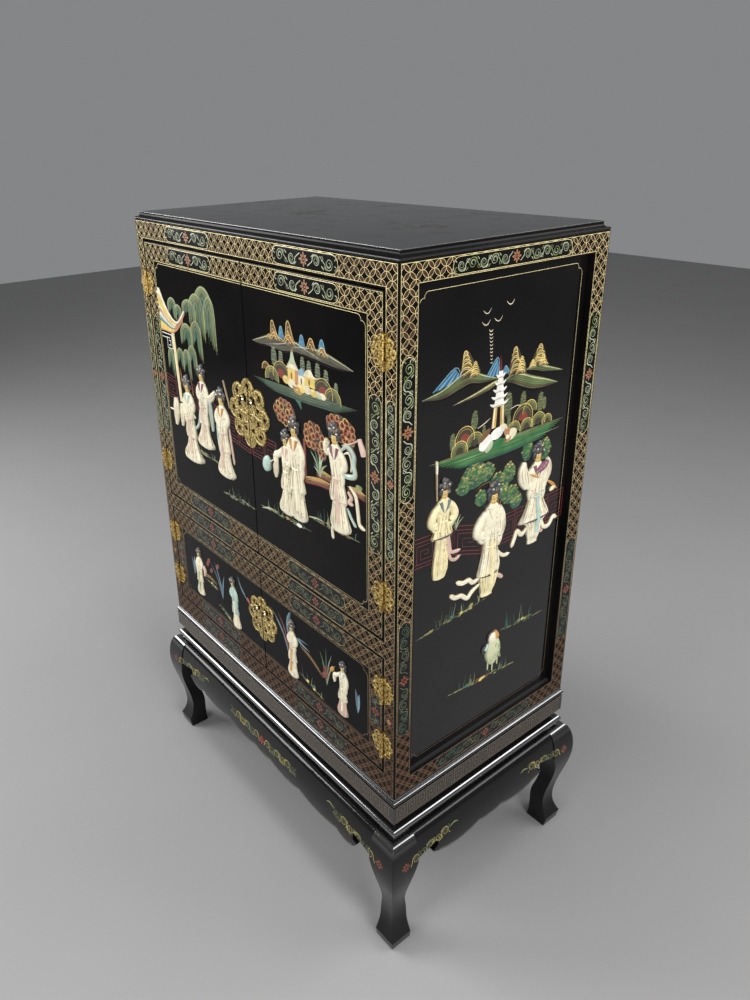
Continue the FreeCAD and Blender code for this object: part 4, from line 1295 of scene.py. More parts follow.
for u, v, height in ((-68, 932, 34), (-112, 914, 28), (4, 936, 42), (38, 940, 32), (80, 926, 36),
                     (90, 930, 22), (8, 922, 20), (-47, 920, 18)):
    cypress((u, v), height)
BROWN_BUSH = ("umber", "rust")
GREEN_BUSH = ("olive", "umber")
for u, v, radius, leaves in (
        (-87, 926, 20, BROWN_BUSH), (-66, 914, 18, GREEN_BUSH), (-97, 909, 17, GREEN_BUSH),
        (55, 938, 16, GREEN_BUSH), (40, 928, 23, BROWN_BUSH), (20, 913, 15, GREEN_BUSH),
        (50, 911, 15, GREEN_BUSH), (100, 909, 12, GREEN_BUSH), (78, 912, 17, GREEN_BUSH)):
    fan_bush((u, v), radius, leaves)
brush("cream", 1.6, [(-62, 936), (-48, 940), (-34, 946)], 2)
brush("cream", 1.2, [(2, 948), (22, 952), (34, 950)], 2)
shore((-157, 905), (141, 905), 24, ("olive", "leaf", "pine", "leaf", "pine", "leaf", "pine", "deep"), 4)
for step in range(12):
    start, level = -146 + step * 19, 904 - step % 4 * 4.2
    brush(("moss", "deep", "sage")[step % 3], 0.9,
          [(start, level), (start + 35, level - 1), (start + 70, level)], 6)
for colour, size, spot, stretch, lean in (
        ("brown", 12, (-44, 921), 2.2, 0.7), ("white", 22, (-42, 909), 1.4, 0.5),
        ("celadon", 12, (-34, 901), 1.8, 0.8), ("white", 18, (-18, 918), 1.7, 0.2),
        ("cream", 12, (-4, 924), 1.6, -0.4), ("tan", 14, (6, 914), 1.5, -0.9),
        ("cream", 18, (15, 909), 1.4, 0.2), ("tan", 7, (10, 902), 1.8, 0.6),
        ("pine", 17, (-14, 901), 1.4, 0.1), ("leaf", 8, (-16, 905), 1.8, 0.4)):
    dot(colour, size, spot, 7, stretch, lean)
pagoda((-17, 928), 5, 36, 10.8)

SIDE_PINES = (
    ((-62, 862), 60, 44), ((-84, 850), 32, 28), ((-38, 860), 42, 32), ((16, 844), 32, 36),
    ((-44, 820), 30, 28), ((-10, 838), 36, 28), ((4, 818), 30, 30), ((22, 806), 40, 34),
    ((38, 790), 30, 30), ((58, 869), 28, 34), ((100, 862), 34, 40))
for index, (centre, width, height) in enumerate(SIDE_PINES):
    pine_pad(centre, width, height, index)
brush("brown", 3.4, [(-2, 780), (-6, 806), (-20, 838), (-40, 842), (-58, 836)], 1, "end")
brush("brown", 3.0, [(-4, 790), (8, 812), (14, 828)], 1, "end")
fence(-182, -100, (796, 791), (748, 743), 2)
fence(-100, -38, (791, 773), (743, 722), 1)
fence(-2, 161, (772, 775), (722, 724), 4)
leaf_spray((-98, 784), [(-106, 812), (-96, 824), (-88, 808), (-80, 802), (-112, 798)],
           ("sage", "deep", "celadon"), 2.2)
tuft((-172, 622), (-24, 633), 11, 30)
tuft((18, 551), (132, 543), 12, 38)
tuft((-96, 478), (62, 466), 13, 26)
on_both_sides("side_painting", paint, PICTURE)

# %% [markdown]
# ## The upper door paintings
# The left door has a garden pavilion and a willow. The right door has mountains and a village on a shore,
# and blossom trees. The fence runs across both, so it is cut at the meeting edge.

# %% Upper left door painting
QUIET = ("brown", "ochre", "grey", "moss")
ROOF_TOP = ((-304, 1069), (-285, 1044), (-262, 1022), (-242, 1013), (-228, 1017), (-205, 1039))
ROOF_EAVES = ((-304, 990), (-285, 990), (-262, 990), (-243, 996), (-226, 1009), (-204, 1034))
ROOF_BANDS = (
    (0.05, "cream", 0.2), (0.17, "yellow", 0.2), (0.29, "yellow", 0.2), (0.41, "cream", 0.2),
    (0.5, "tan", 0.1), (0.59, "cream", 0.16), (0.69, "sky", 0.13), (0.74, "teal", 0.12),
    (0.83, "yellow", 0.18), (0.94, "yellow", 0.16))
for share, colour, cover in ROOF_BANDS:
    band = [(a + (c - a) * share, b + (d - b) * share) for (a, b), (c, d) in zip(ROOF_TOP, ROOF_EAVES)]
    shaped(colour, [max(1.6, (b - d) * cover) for (a, b), (c, d) in zip(ROOF_TOP, ROOF_EAVES)], band, 2)
shaped("tan", (2, 10, 12, 4), [(-250, 996), (-236, 1006), (-222, 1019), (-206, 1035)], 3)
for step in range(9):
    dot("red", 1.8, (-302 + step * 5.6, 1030 - step * 2.4), 4, 1.4)
brush("rose", 2.4, ROOF_EAVES, 4, "none")
brush("white", 3.2, ROOF_TOP, 4, "none")
for corner in ([(-303, 984), (-264, 984)], [(-303, 976), (-272, 977)],
               [(-283, 978), (-283, 957), (-264, 957), (-264, 984)],
               [(-277, 972), (-270, 972), (-270, 963), (-277, 963)]):
    line("white", 1.9, corner, 3)
shaped("cream", (12, 11, 11), [(-258, 990), (-254, 925), (-249, 855)], 3)
shaped("yellow", (3.4, 3.0, 3.0), [(-255, 990), (-251, 925), (-246, 855)], 4)
brush("brown", 5.0, [(-243, 926), (-240, 906), (-241, 890)], 2)
for plume in ((-132, 1092, 64, 104), (-112, 1078, 38, 98), (-158, 1076, 56, 82), (-187, 1062, 48, 44),
              (-251, 1057, 34, 44), (-229, 1047, 32, 40), (-203, 1016, 46, 60), (-166, 1027, 40, 74),
              (-188, 978, 34, 58), (-211, 966, 30, 58), (-275, 957, 24, 60), (-236, 964, 28, 44)):
    willow(*plume)
brush("brown", 3.4, [(-198, 880), (-204, 930), (-196, 985), (-176, 1030), (-150, 1060)], 1, "end")
fence(-304, -264, (902, 898), (856, 854), 1)
fence(-214, -118, (906, 882), (862, 836), 3)
fence(-118, -3, (882, 868), (836, 823), 3)
tuft((-214, 770), (-122, 766), 21, 22, QUIET)
tuft((-112, 711), (-4, 716), 22, 24, QUIET)
paint("upper_left_door_painting", "upper_left_door", FRONT)

# %% Upper right door painting
FAR_HILLS = ("olive", "umber", "dusk", "umber", "umber", "black")
slope([(24, 1029), (52, 1038), (80, 1047), (104, 1047), (130, 1040)], FAR_HILLS, 3.0)
slope([(62, 1030), (104, 1038), (140, 1047), (166, 1042), (206, 1034)], FAR_HILLS, 3.0)
slope([(130, 1038), (168, 1044), (206, 1046), (244, 1040), (280, 1033)], FAR_HILLS, 3.2)
for peak in ((107, 1048, 19, 18), (160, 1043, 21, 19), (209, 1043, 23, 21)):
    crag(*peak, ("sky", "blue", "blue"), 0, 2)
FAR_CRAG = ("yellow", "umber", "rose")
for u, base, width, height, lean in (
        (88, 1046, 24, 25, -4), (74, 1040, 18, 8, 0), (129, 1046, 28, 31, -3), (127, 1042, 36, 14, 0),
        (183, 1043, 28, 18, 0), (90, 1042, 32, 12, 0), (210, 1040, 30, 12, 0)):
    crag(u, base, width, height, FAR_CRAG, lean)
for u, v, height in ((84, 996, 36), (103, 1000, 28), (160, 1002, 28), (176, 1000, 27), (197, 998, 30),
                     (217, 994, 28), (240, 986, 22)):
    cypress((u, v), height, 2, ("dusk", "sage", "celadon"))
for u, v, radius, leaves in ((60, 990, 11, BROWN_BUSH), (102, 988, 22, BROWN_BUSH), (76, 978, 19, GREEN_BUSH),
                             (209, 984, 23, BROWN_BUSH), (232, 978, 19, GREEN_BUSH)):
    fan_bush((u, v), radius, leaves)
shaped("yellow", (27, 26), [(134, 984), (134, 1006)], 5)
shaped("rose", (8, 8), [(144, 984), (144, 1006)], 6)
brush("rust", 2.2, [(134, 1032), (134, 1048)], 8, "end")
shaped("celadon", (36, 24, 13, 7, 2), [(134, 1004), (134, 1011), (134, 1019), (134, 1028), (134, 1038)], 6)
shaped("cream", (30, 14), [(134, 1005), (134, 1012)], 7)
brush("rust", 3.6, [(131, 986), (131, 1000)], 6, "round")
shaped("cream", (16, 16), [(156, 984), (156, 1000)], 5)
shaped("sky", (22, 18, 5), [(158, 999), (158, 1004), (160, 1010)], 6)
brush("brown", 4.0, [(156, 985), (156, 996)], 6, "round")
shaped("yellow", (26, 26), [(177, 986), (177, 1003)], 6)
shaped("cream", (34, 24, 5), [(178, 1001), (178, 1006), (180, 1012)], 7)
brush("brown", 4.0, [(176, 988), (176, 999)], 7, "round")
for colour, size, spot, stretch in (
        ("yellow", 13, (116, 984), 1.5), ("cream", 14, (130, 981), 1.6), ("tan", 13, (142, 977), 1.6),
        ("yellow", 14, (154, 979), 1.6), ("cream", 13, (170, 980), 1.6), ("yellow", 12, (186, 979), 1.7),
        ("celadon", 11, (198, 979), 1.6), ("cream", 10, (208, 979), 1.7), ("ochre", 9, (146, 972), 2.4)):
    dot(colour, size, spot, 8, stretch, -0.1)
    dot("cream", size * 0.26, (spot[0] - 2, spot[1] + size * 0.24), 9, 2.4, -0.1)
shore((22, 969), (287, 978), 15, ("dusk", "deep", "dusk", "deep", "dusk", "deep", "umber", "deep"), 4)
for shift in (0, 4, 8):
    brush("sage", 0.7, [(96 + shift * 3, 971 - shift), (160, 971 - shift), (240 - shift * 3, 975 - shift)], 6)
shaped("teal", (14, 9, 2), [(136, 966), (147, 956), (153, 945)], 3)
for seed, (u, v, width, height) in enumerate(((106, 929, 62, 44), (182, 909, 54, 48), (204, 892, 22, 34),
                                              (244, 940, 60, 44), (266, 934, 34, 46)), 31):
    blossom_head((u, v), width, height, seed)
brush("brown", 3.0, [(200, 846), (196, 868), (190, 890)], 2, "end")
leaf_spray((194, 848), [(172, 884), (182, 890), (206, 884), (214, 872), (180, 866), (200, 896)],
           ("sage", "teal", "celadon"), 4.0)
leaf_spray((196, 846), [(180, 860), (186, 872), (206, 866), (214, 856)], ("celadon", "leaf"), 3.2)
for colour, width, drop in (("ochre", 5.0, 0), ("tan", 2.4, 3.5), ("brown", 4.6, 7), ("crimson", 3.0, 10)):
    for bank in ([(150, 832), (176, 838), (200, 842), (226, 842)], [(186, 854), (204, 857), (226, 855)],
                 [(262, 854), (284, 856), (304, 853)]):
        brush(colour, width, [(u, v - drop) for u, v in bank])
dot("sage", 10.0, (288, 860), 2, 1.4)
dot("moss", 6.0, (292, 862), 3, 1.4)
fence(3, 76, (868, 866), (823, 824), 2)
shaped("rust", (6, 6), [(157, 832), (157, 898)], 1)
tuft((24, 733), (168, 741), 41, 24, QUIET)
brush("celadon", 3.6, [(22, 729), (44, 736), (60, 738)], 4)
dot("white", 7.0, (134, 738), 5, 2.2, 0.1)
tuft((162, 767), (286, 772), 43, 28, QUIET)
brush("celadon", 2.6, [(160, 765), (180, 770), (200, 772)], 4)
paint("upper_right_door_painting", "upper_right_door", FRONT)

# %% [markdown]
# ## The lower door paintings
# The low doors are kept simple: sprays of blue leaves, red flowers and tufts of grass between the figures.

# %% Lower door paintings
leaf_spray((-268, 458), [(-276, 500), (-262, 506)], ("dull blue", "steel"), 7.0)
leaf_spray((-152, 452), [(-196, 524), (-176, 530), (-140, 512), (-160, 502)],
           ("dull blue", "steel", "steel"), 3.6)
for bloom in ((-206, 512), (-192, 502), (-200, 522), (-164, 524)):
    dot("rust", 9.0, bloom, 3, 1.6, 0.9)
    dot("crimson", 4.0, bloom, 4, 1.4, 0.9)
leaf_spray((-86, 540), [(-58, 506), (-50, 496)], ("dull blue", "steel"), 3.6)
dot("red", 7.0, (-50, 500), 3, 2.0, -0.9)
brush("brown", 5.0, [(-236, 470), (-206, 480), (-172, 476)], 1)
brush("ochre", 1.5, [(-236, 474), (-206, 484), (-172, 480)], 2)
tuft((-222, 470), (-168, 466), 51, 10)
tuft((-168, 430), (-112, 412), 52, 18)
paint("lower_left_door_painting", "lower_left_door", FRONT)
leaf_spray((84, 448), [(30, 528), (44, 514)], ("dull blue", "steel"), 5.0)
leaf_spray((88, 446), [(52, 530), (60, 498)], ("rust", "crimson"), 4.4)
shaped("dull blue", (3, 11, 10, 3), [(88, 484), (84, 508), (86, 530), (93, 548)], 2)
shaped("steel", (1, 3, 3, 1), [(86, 486), (81, 508), (83, 530), (90, 546)], 3)
leaf_spray((110, 502), [(150, 494), (144, 506)], ("steel", "dull blue"), 4.4)
leaf_spray((196, 452), [(178, 516), (196, 532), (212, 524), (222, 508), (184, 498)],
           ("leaf", "deep", "grey", "sage"), 3.0)
for bloom in ((192, 484), (197, 474), (188, 470)):
    dot("rust", 8.0, bloom, 3, 1.7, 1.4)
    dot("crimson", 3.6, bloom, 4, 1.4, 1.4)
leaf_spray((280, 448), [(274, 494), (284, 488)], ("dull blue", "steel"), 8.0)
brush("brown", 4.0, [(120, 490), (150, 482), (186, 462)], 1)
brush("ochre", 1.5, [(120, 493), (150, 486), (186, 466)], 2)
tuft((116, 430), (186, 414), 53, 24)
paint("lower_right_door_painting", "lower_right_door", FRONT)

# %% [markdown]
# ## Carved stone figures
# The robed figures are carved from soft pale stone and glued on, up to seven millimetres proud. A carver
# thinks of such a figure as wrapped forms: a flared skirt, a coat over it, sleeves over the coat, then the
# head. Each form is a thick stroke with its own width along its length, pressed to a shallow dome, and the
# forms of one figure overlap as the layers of clothing do. Folds, belts and painted sprigs are thin
# strokes that follow the dome below them, and thin tan strokes in the creases of the skirt, coat and sleeves
# are painted shade. The faces are plain and calm, made from the same few marks.

# %% Relief carving
RELIEF = ((0.0, 0.32), (1.2, 0.32), (2.2, 0.40), (1.0, 0.72), (1.4, 0.70))
SKIRT, COAT, SLEEVE, HEAD, HAIR = range(len(RELIEF))
DETAIL = len(RELIEF)
RELIEF_SINK_MM = 0.3
PROUD_MM = 7.0


def proud(height):
    """A carver keeps the relief shallow: heights level off below the most that the stone allows."""
    return PROUD_MM * np.tanh(height / PROUD_MM)


def press_relief(mesh):
    """Presses round strokes to domes by their layer; details keep the height that they were drawn at."""
    spots = mesh_spots(mesh)
    layers = np.round(spots[:, 2] / LAYER_GAP).astype(int)
    rise = spots[:, 2] - layers * LAYER_GAP
    lifts = np.array([lift for lift, flat in RELIEF] + [0.0])
    flats = np.array([flat for lift, flat in RELIEF] + [1.0])
    domed = lifts[layers] + rise * flats[layers]
    domed = np.where(layers == DETAIL, domed, proud(domed))
    shown = (layers == DETAIL) | (rise > EDGE_TOLERANCE_MM)
    spots[:, 2] = np.where(shown, domed, -RELIEF_SINK_MM)
    mesh.vertices.foreach_set("co", spots.ravel())


def carve(name, body, surface, node):
    """Makes the strokes so far into one carved piece that takes the place of its plain solid."""
    piece = strokes_to_mesh(name, 2)
    press_relief(piece.data)
    settle(piece, surface, body, "soapstone")
    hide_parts(node)
    return piece


def detail(colour, width, points, steps=3, taper="both"):
    """A thin stroke that keeps its own height on the carving."""
    brush(colour, width, points, DETAIL, taper, steps)


# %% One robed figure
HEAD_LEVEL, FACE_LEVEL = 136.5, 142.0
HEAD_GROWTH = 1.25
COAT_HEM = 46.0
SKIRT_LEVELS, SKIRT_HALVES = (0, 4, 10, 18, 32, 75), (12.0, 17.0, 18.5, 16.0, 12.5, 8.5)
SKIRT_FLARE = (4.0, 9.5, 10.0, 5.5, 0.8, 0.0)
COAT_LEVELS = (COAT_HEM, 49, 62, 80, 98, 114, 124, 131)
COAT_HALVES = (12.5, 15.0, 12.6, 9.6, 11.4, 12.8, 9.8, 4.0)
COAT_SWEEP = (9.0, 10.0, 4.0, 0.6, 0.0, 0.0, 0.0, 0.0)
ARMS = {
    "folded": ((8, 120), (12, 108), (9, 99), (1, 97), (2, 78)),
    "out": ((8, 120), (15, 112), (21, 107), (28, 105), (26, 84)),
    "down": ((8, 120), (12, 108), (12, 96), (10, 86), (10, 68)),
    "raised": ((8, 120), (14, 113), (16, 122), (13, 131), (17, 112)),
    "hip": ((8, 120), (13, 110), (13, 100), (7, 93), (9, 74)),
    "wide": ((8, 119), (15, 109), (18, 97), (12, 90), (11, 80)),
}


def figure(hem, head, coat="stone", skirt="stone", panel="pink stone", collar="aqua stone", trim="fold",
           arms=("folded", "folded"), turn=1, girth=1.3, flare=1.0, sweep=1.0, sleeve=1.0, coat_hem=COAT_HEM,
           seed=1):
    """A standing robed figure from the middle of its hem to the middle of its head."""
    size = (head[1] - hem[1]) / HEAD_LEVEL
    rng = random.Random(seed)
    skirt_halves = [half + (flare - 1) * more for half, more in zip(SKIRT_HALVES, SKIRT_FLARE)]
    coat_halves = [half + (sweep - 1) * more for half, more in zip(COAT_HALVES, COAT_SWEEP)]
    coat_top = COAT_LEVELS[-1]

    def at(u, v):
        return (hem[0] + (head[0] - hem[0]) * v / HEAD_LEVEL + turn * u * size * girth, hem[1] + v * size)

    def worn(v):
        """Where a level of the usual coat comes when its hem hangs higher or lower."""
        return coat_top - (coat_top - v) * (coat_top - coat_hem) / (coat_top - COAT_HEM)

    coat_levels = [worn(v) for v in COAT_LEVELS]

    def half_at(v):
        if v >= coat_hem:
            return np.interp(v, coat_levels, coat_halves)
        return np.interp(v, SKIRT_LEVELS, skirt_halves)

    def on(share, v, sink):
        """A spot on the dome of the clothes, at a share of their half width, sunk a little into it."""
        lift, flat = RELIEF[COAT if v >= coat_hem else SKIRT]
        round_off = math.sqrt(max(0.06, 1 - share ** 2))
        return (*at(share * half_at(v), v), proud(lift + flat * half_at(v) * size * girth * round_off) - sink)

    shaped(skirt, [2 * half * size * girth for half in skirt_halves], [at(0, v) for v in SKIRT_LEVELS], SKIRT)
    for fold in range(8):
        share = (fold - 3.5) / 4.1
        detail(skirt, (2.6 + fold % 3 * 0.8) * size, [on(share, v, 0.35) for v in (44, 30, 15, 5)])
        # A thin tan line of painted shade in the crease beside every other fold.
        if fold % 2:
            detail("fold", 0.6 * size, [on(share + 0.1, v, 0.05) for v in (42, 28, 14, 6)])
        scallop = at(share * 0.84 * skirt_halves[1], 1.5 + abs(share) * 3.0 + fold % 2 * 1.6)
        dot(skirt, 6.4 * size, scallop, COAT, 1.3, 1.4)
    shaped(coat, [2 * half * size * girth for half in coat_halves], [at(0, v) for v in coat_levels], COAT)
    for share in (-0.86, -0.5, -0.2, 0.3, 0.62, 0.9):
        detail(coat, 2.6 * size, [on(share, worn(v), 0.35) for v in (78, 66, 56, COAT_HEM + 2)])
        # Thin tan lines of painted shade in the creases beside some of the coat's folds.
        if share in (-0.86, -0.2, 0.62):
            shaded_crease = [on(share + 0.07, worn(v), 0.05) for v in (92, 74, 58, COAT_HEM + 2)]
            detail("fold", 0.6 * size, shaded_crease)
        dot(coat, 6.0 * size, at(share * coat_halves[0], coat_hem + abs(share) * 2.5), COAT, 1.2, 1.4)
    band, sink = (2.8, -0.7) if trim == "dark hair" else (1.3, 0.1)
    border = [on(share, coat_hem + 1.5 + abs(share), sink) for share in (-0.95, -0.4, 0, 0.4, 0.95)]
    detail(trim, band * size, border)
    hanging = [on(share, v, 1.4) for share, v in ((0, 82), (0.06, 64), (0.12, 44), (0.16, 18))]
    shaped(panel, [w * size for w in (5.0, 7.6, 9.0, 9.6)], hanging, DETAIL)
    belt = [on(share, worn(81) + abs(share), 0.4) for share in (-0.9, -0.4, 0, 0.4, 0.9)]
    detail(panel, 3.6 * size, belt)
    for side in (-1, 1):
        edge = ((0.1, 106), (0.24, 92), (0.32, 80), (0.36, 64), (0.4, COAT_HEM + 3))
        detail("fold", 0.8 * size, [on(side * share, worn(v), 0.05) for share, v in edge])
    for index in range(30):
        u, v, lift = on(rng.uniform(-0.8, 0.8), rng.uniform(6, 114), 0.0)
        sprig = [(u, v, lift), (u + 1.6, v + 1.8, lift), (u + 2.6, v + 0.8, lift)]
        detail(rng.choice(("jade", "fold", "pink stone", "fold")), 1.2 * size, sprig, 2)
    for side, pose in zip((-1, 1), arms):
        path = [at(side * u, v) for u, v in ARMS[pose]]
        hand, end = path[3:]
        fall = [hand, ((hand[0] + end[0]) / 2, (hand[1] + end[1]) / 2), end]
        shaped(coat, [w * size * sleeve for w in (9.0, 11.5, 12.0, 11.0)], path[:4], SLEEVE)
        shaped(coat, [w * size * sleeve for w in (10.0, 11.0, 5.0)], fall, SLEEVE)
        lift = proud(RELIEF[SLEEVE][0] + RELIEF[SLEEVE][1] * 5.4 * size * sleeve)
        # Thin tan lines of painted shade along the creases of the sleeve.
        for shift in (-2.4, 0.0, 2.4):
            shaded_crease = [(u + shift * size, v, lift - 0.5 - abs(shift) * 0.15) for u, v in path[1:4]]
            detail("fold", 0.8 * size, shaded_crease)
        cuff = ((-3, -3, -0.6), (0, -5, 0), (3, -3, -0.6))
        edge = [(hand[0] + u * size, hand[1] + v * size, lift + dip) for u, v, dip in cuff]
        detail(trim, 1.1 * size, edge, 2)
        dot("ivory skin", 4.4 * size, hand, HEAD)
    for side in (-1, 1):
        lapel = [on(side * share, v, 0.2) for share, v in ((0.66, 126), (0.36, 118), (0.05, 108))]
        detail(collar, 5.8 * size, lapel, 3, "end")
    head_size = size * HEAD_GROWTH

    def up(u, v):
        return at(u * HEAD_GROWTH / girth, HEAD_LEVEL + (v - FACE_LEVEL) * HEAD_GROWTH)

    shaped("ivory skin", (5.2 * head_size, 5.0 * head_size), [at(0, 122), up(0, 138)], HEAD)
    shaped("ivory skin", [w * head_size for w in (3.0, 7.8, 10.4, 10.6, 6.5)],
           [up(0, v) for v in (134.6, 137.5, 141.5, 145.5, 149.0)], HEAD)
    calm_face(up, head_size)
    dressed_hair(up, head_size, rng)


def calm_face(at, size):
    """Two brows, two lowered eyes, a nose and a small mouth, on the usual thirds of a face."""
    def on_face(u, v):
        lift, flat = RELIEF[HEAD]
        return (*at(u, v), proud(lift + flat * 5.3 * size * math.sqrt(1 - (u / 5.6) ** 2)) - 0.05)

    brow = ((1.0, 144.6), (2.2, 145.2), (3.5, 144.5))
    eye = ((0.9, 142.6), (2.0, 142.3), (3.1, 142.7))
    for side in (-1, 1):
        detail("dark hair", 0.6 * size, [on_face(side * u, v) for u, v in brow], 2)
        detail("dark hair", 0.85 * size, [on_face(side * u, v) for u, v in eye], 2)
    detail("ivory skin", 1.5 * size, [on_face(0, v) for v in (144.0, 142.0, 140.0)], 2, "end")
    detail("red", 0.95 * size, [on_face(u, v) for u, v in ((-1.2, 138.0), (0, 137.7), (1.2, 138.0))], 2)


def dressed_hair(at, size, rng):
    """Hair swept up over the head to a knot with loops and pale ornaments."""
    sweep = ((-6.0, 142), (-5.8, 147.5), (0, 151), (5.8, 147.5), (6.2, 142))
    brush("dark hair", 6.8 * size, [at(u, v) for u, v in sweep], HAIR, "none", 3)
    for u, v, width in ((-0.5, 151, 12.0), (-1.0, 156, 10.5), (-7.0, 152.0, 7.4), (6.4, 153.0, 7.2),
                        (1.8, 159.5, 6.0)):
        dot("dark hair", width * size, at(u, v), HAIR, 1.15)
    lift = proud(RELIEF[HAIR][0] + 3.6 * size)
    for spot in ((-4.2, 153.5), (3.4, 156.5), (7.0, 150.0)):
        u, v = at(*spot)
        pin = [(u - 1.3 * size, v, lift), (u, v + 0.4, lift + 0.5), (u + 1.3 * size, v, lift)]
        detail(rng.choice(("aqua stone", "stone")), 2.0 * size, pin, 2)
    for step in range(5):
        u, v = at(-5.6 + step * 2.6, 155.0)
        detail("fold", 0.6 * size, [(u, v, lift), (u + 1.2, v - 5.0 * size, lift + 0.2)], 2)


def hanging_sleeve(colour, widths, points):
    """A wide sleeve end that hangs free, with thin strokes of painted shade in the creases along it."""
    shaped(colour, widths, points, SLEEVE)
    lift, flat = RELIEF[SLEEVE]
    # Thin tan lines of painted shade along the creases of the hanging sleeve.
    for shift in (-0.26, 0.0, 0.24):
        shaded_crease = [(u + shift * w, v, proud(lift + flat * w / 2 * math.sqrt(1 - 4 * shift * shift)) - 0.1)
                  for (u, v), w in zip(points, widths)]
        detail("fold", 0.9, shaded_crease, 4)


def ribbon(colour, width, points):
    """A flying sash end: a flat band with a raised ridge, a dark edge and a rounded tip."""
    brush("fold", width * 1.16, points, SKIRT, "band", 5)
    brush(colour, width, points, COAT, "band", 5)
    brush(colour, width * 0.42, [(u + width * 0.16, v + width * 0.18) for u, v in points], SLEEVE, "both", 5)


print("a figure stands", HEAD_LEVEL, "units to the middle of its head")

# %% Figures of the upper doors
figure((-214, 741), (-218, 890), arms=("down", "folded"), flare=1.95, seed=2)
hanging_sleeve("stone", (12, 22, 20, 8), [(-270, 858), (-270, 842), (-272, 822), (-276, 802)])
hanging_sleeve("stone", (10, 18, 16, 7), [(-246, 852), (-247, 836), (-248, 820), (-250, 806)])
ribbon("aqua stone", 5.0, [(-240, 862), (-226, 866), (-216, 876)])
ribbon("stone", 3.4, [(-300, 830), (-282, 830), (-258, 830)])
ribbon("stone", 4.6, [(-214, 850), (-204, 842), (-196, 834)])
figure((-161, 786), (-158, 925), collar="plum stone", arms=("hip", "down"), girth=1.2, flare=1.75, seed=3)
ribbon("aqua stone", 6.5, [(-174, 862), (-180, 836), (-190, 820), (-206, 811)])
hanging_sleeve("stone", (6, 15, 14, 7), [(-144, 892), (-132, 890), (-122, 898), (-113, 908)])
hanging_sleeve("aqua stone", (6, 13, 11, 5), [(-134, 884), (-132, 864), (-131, 846), (-130, 828)])
figure((-91, 749), (-92, 896), collar="amber", arms=("folded", "hip"), turn=-1, flare=1.35, sleeve=1.2,
       seed=4)
ribbon("aqua stone", 7.5, [(-110, 866), (-113, 836), (-111, 806), (-104, 784)])
ribbon("pink stone", 5.0, [(-72, 850), (-68, 822), (-64, 796), (-62, 782)])
shaped("fold", (1.4, 2.6, 2.4, 1.6), [(-80, 938), (-74, 922), (-68, 906), (-63, 890)], SLEEVE)
carve("upper_left_carved_figures", "upper_left_door", FRONT, "upper_left_figures")

figure((138, 750), (132, 902), panel="stone", collar="amber", arms=("folded", "down"), flare=0.75, seed=5)
ribbon("aqua stone", 10.0, [(128, 874), (134, 864), (140, 854)])
ribbon("plum stone", 3.4, [(116, 784), (134, 788), (154, 788)])
figure((103, 748), (107, 878), panel="stone", collar="pink stone", arms=("out", "folded"), girth=1.12,
       flare=1.4, sleeve=1.2, seed=6)
dot("aqua stone", 25.0, (49, 822), SLEEVE, 1.2, 1.3)
brush("stone", 2.4, [(56, 826), (64, 832), (74, 838)], SLEEVE)
hanging_sleeve("stone", (6, 14, 13, 5), [(80, 840), (76, 828), (75, 816), (75, 806)])
ribbon("amber", 4.6, [(88, 774), (97, 768), (106, 774)])
figure((246, 772), (236, 921), collar="plum stone", arms=("raised", "hip"), flare=0.95, seed=7)
ribbon("aqua stone", 9.0,
       [(250, 908), (264, 918), (278, 908), (278, 892), (280, 876), (262, 870), (248, 872)])
ribbon("stone", 4.0, [(256, 904), (268, 908), (274, 894), (272, 880)])
ribbon("pink stone", 3.0, [(252, 916), (272, 924), (292, 936)])
shaped("pink stone", (7, 9, 11, 9), [(292, 938), (295, 930), (299, 922), (301, 914)], SLEEVE)
ribbon("stone", 7.0, [(268, 856), (282, 844), (287, 818), (290, 802), (302, 797)])
ribbon("pink stone", 7.0, [(264, 846), (272, 838), (266, 830), (276, 828)])
ribbon("aqua stone", 5.0, [(262, 818), (272, 804), (282, 794)])
ribbon("stone", 6.0, [(226, 776), (224, 766), (226, 752)])
carve("upper_right_carved_figures", "upper_right_door", FRONT, "upper_right_figures")

# %% Figures of the lower doors
figure((-245, 420), (-241, 518), panel="jade", collar="stone", arms=("down", "hip"), girth=1.15, seed=8)
shaped("pink stone", (3, 9, 3), [(-222, 500), (-218, 488), (-220, 476)], SLEEVE)
figure((-99, 412), (-106, 510), coat="aqua stone", panel="stone", arms=("folded", "down"), girth=1.15,
       seed=9)
carve("lower_left_carved_figures", "lower_left_door", FRONT, "lower_left_figures")
figure((95, 411), (97, 515), panel="amber", collar="stone", arms=("hip", "folded"), turn=-1, girth=1.15,
       seed=10)
figure((240, 418), (243, 514), skirt="pink stone", panel="stone", arms=("out", "down"), girth=1.15, seed=11)
dot("amber", 9.0, (214, 498), SLEEVE, 1.5, 1.0)
carve("lower_right_carved_figures", "lower_right_door", FRONT, "lower_right_figures")

# %% Figures and censer of the sides
figure((-131, 714), (-126, 853), coat="yellow stone", skirt="yellow stone", panel="yellow stone",
       collar="slate stone", trim="dark hair", arms=("wide", "wide"), turn=-1, flare=0.35, sweep=1.25,
       sleeve=1.4, coat_hem=68.0, seed=12)
shaped("fold", (2.4, 3.4, 3.6, 3.4), [(-141, 846), (-142, 868), (-143, 888), (-143, 896)], SLEEVE)
shaped("stone", (3.4, 4.4, 4.0), [(-143, 886), (-143, 898), (-144, 908)], SLEEVE)
ribbon("pale jade", 9.0, [(-146, 800), (-132, 796), (-116, 800)])
dot("slate stone", 8.0, (-140, 799), HEAD, 1.3, 0.2)
ribbon("pink stone", 6.0, [(-117, 796), (-112, 770), (-108, 752), (-98, 748), (-88, 748)])
ribbon("pink stone", 6.0, [(-116, 790), (-114, 758), (-108, 740), (-98, 734), (-88, 738)])
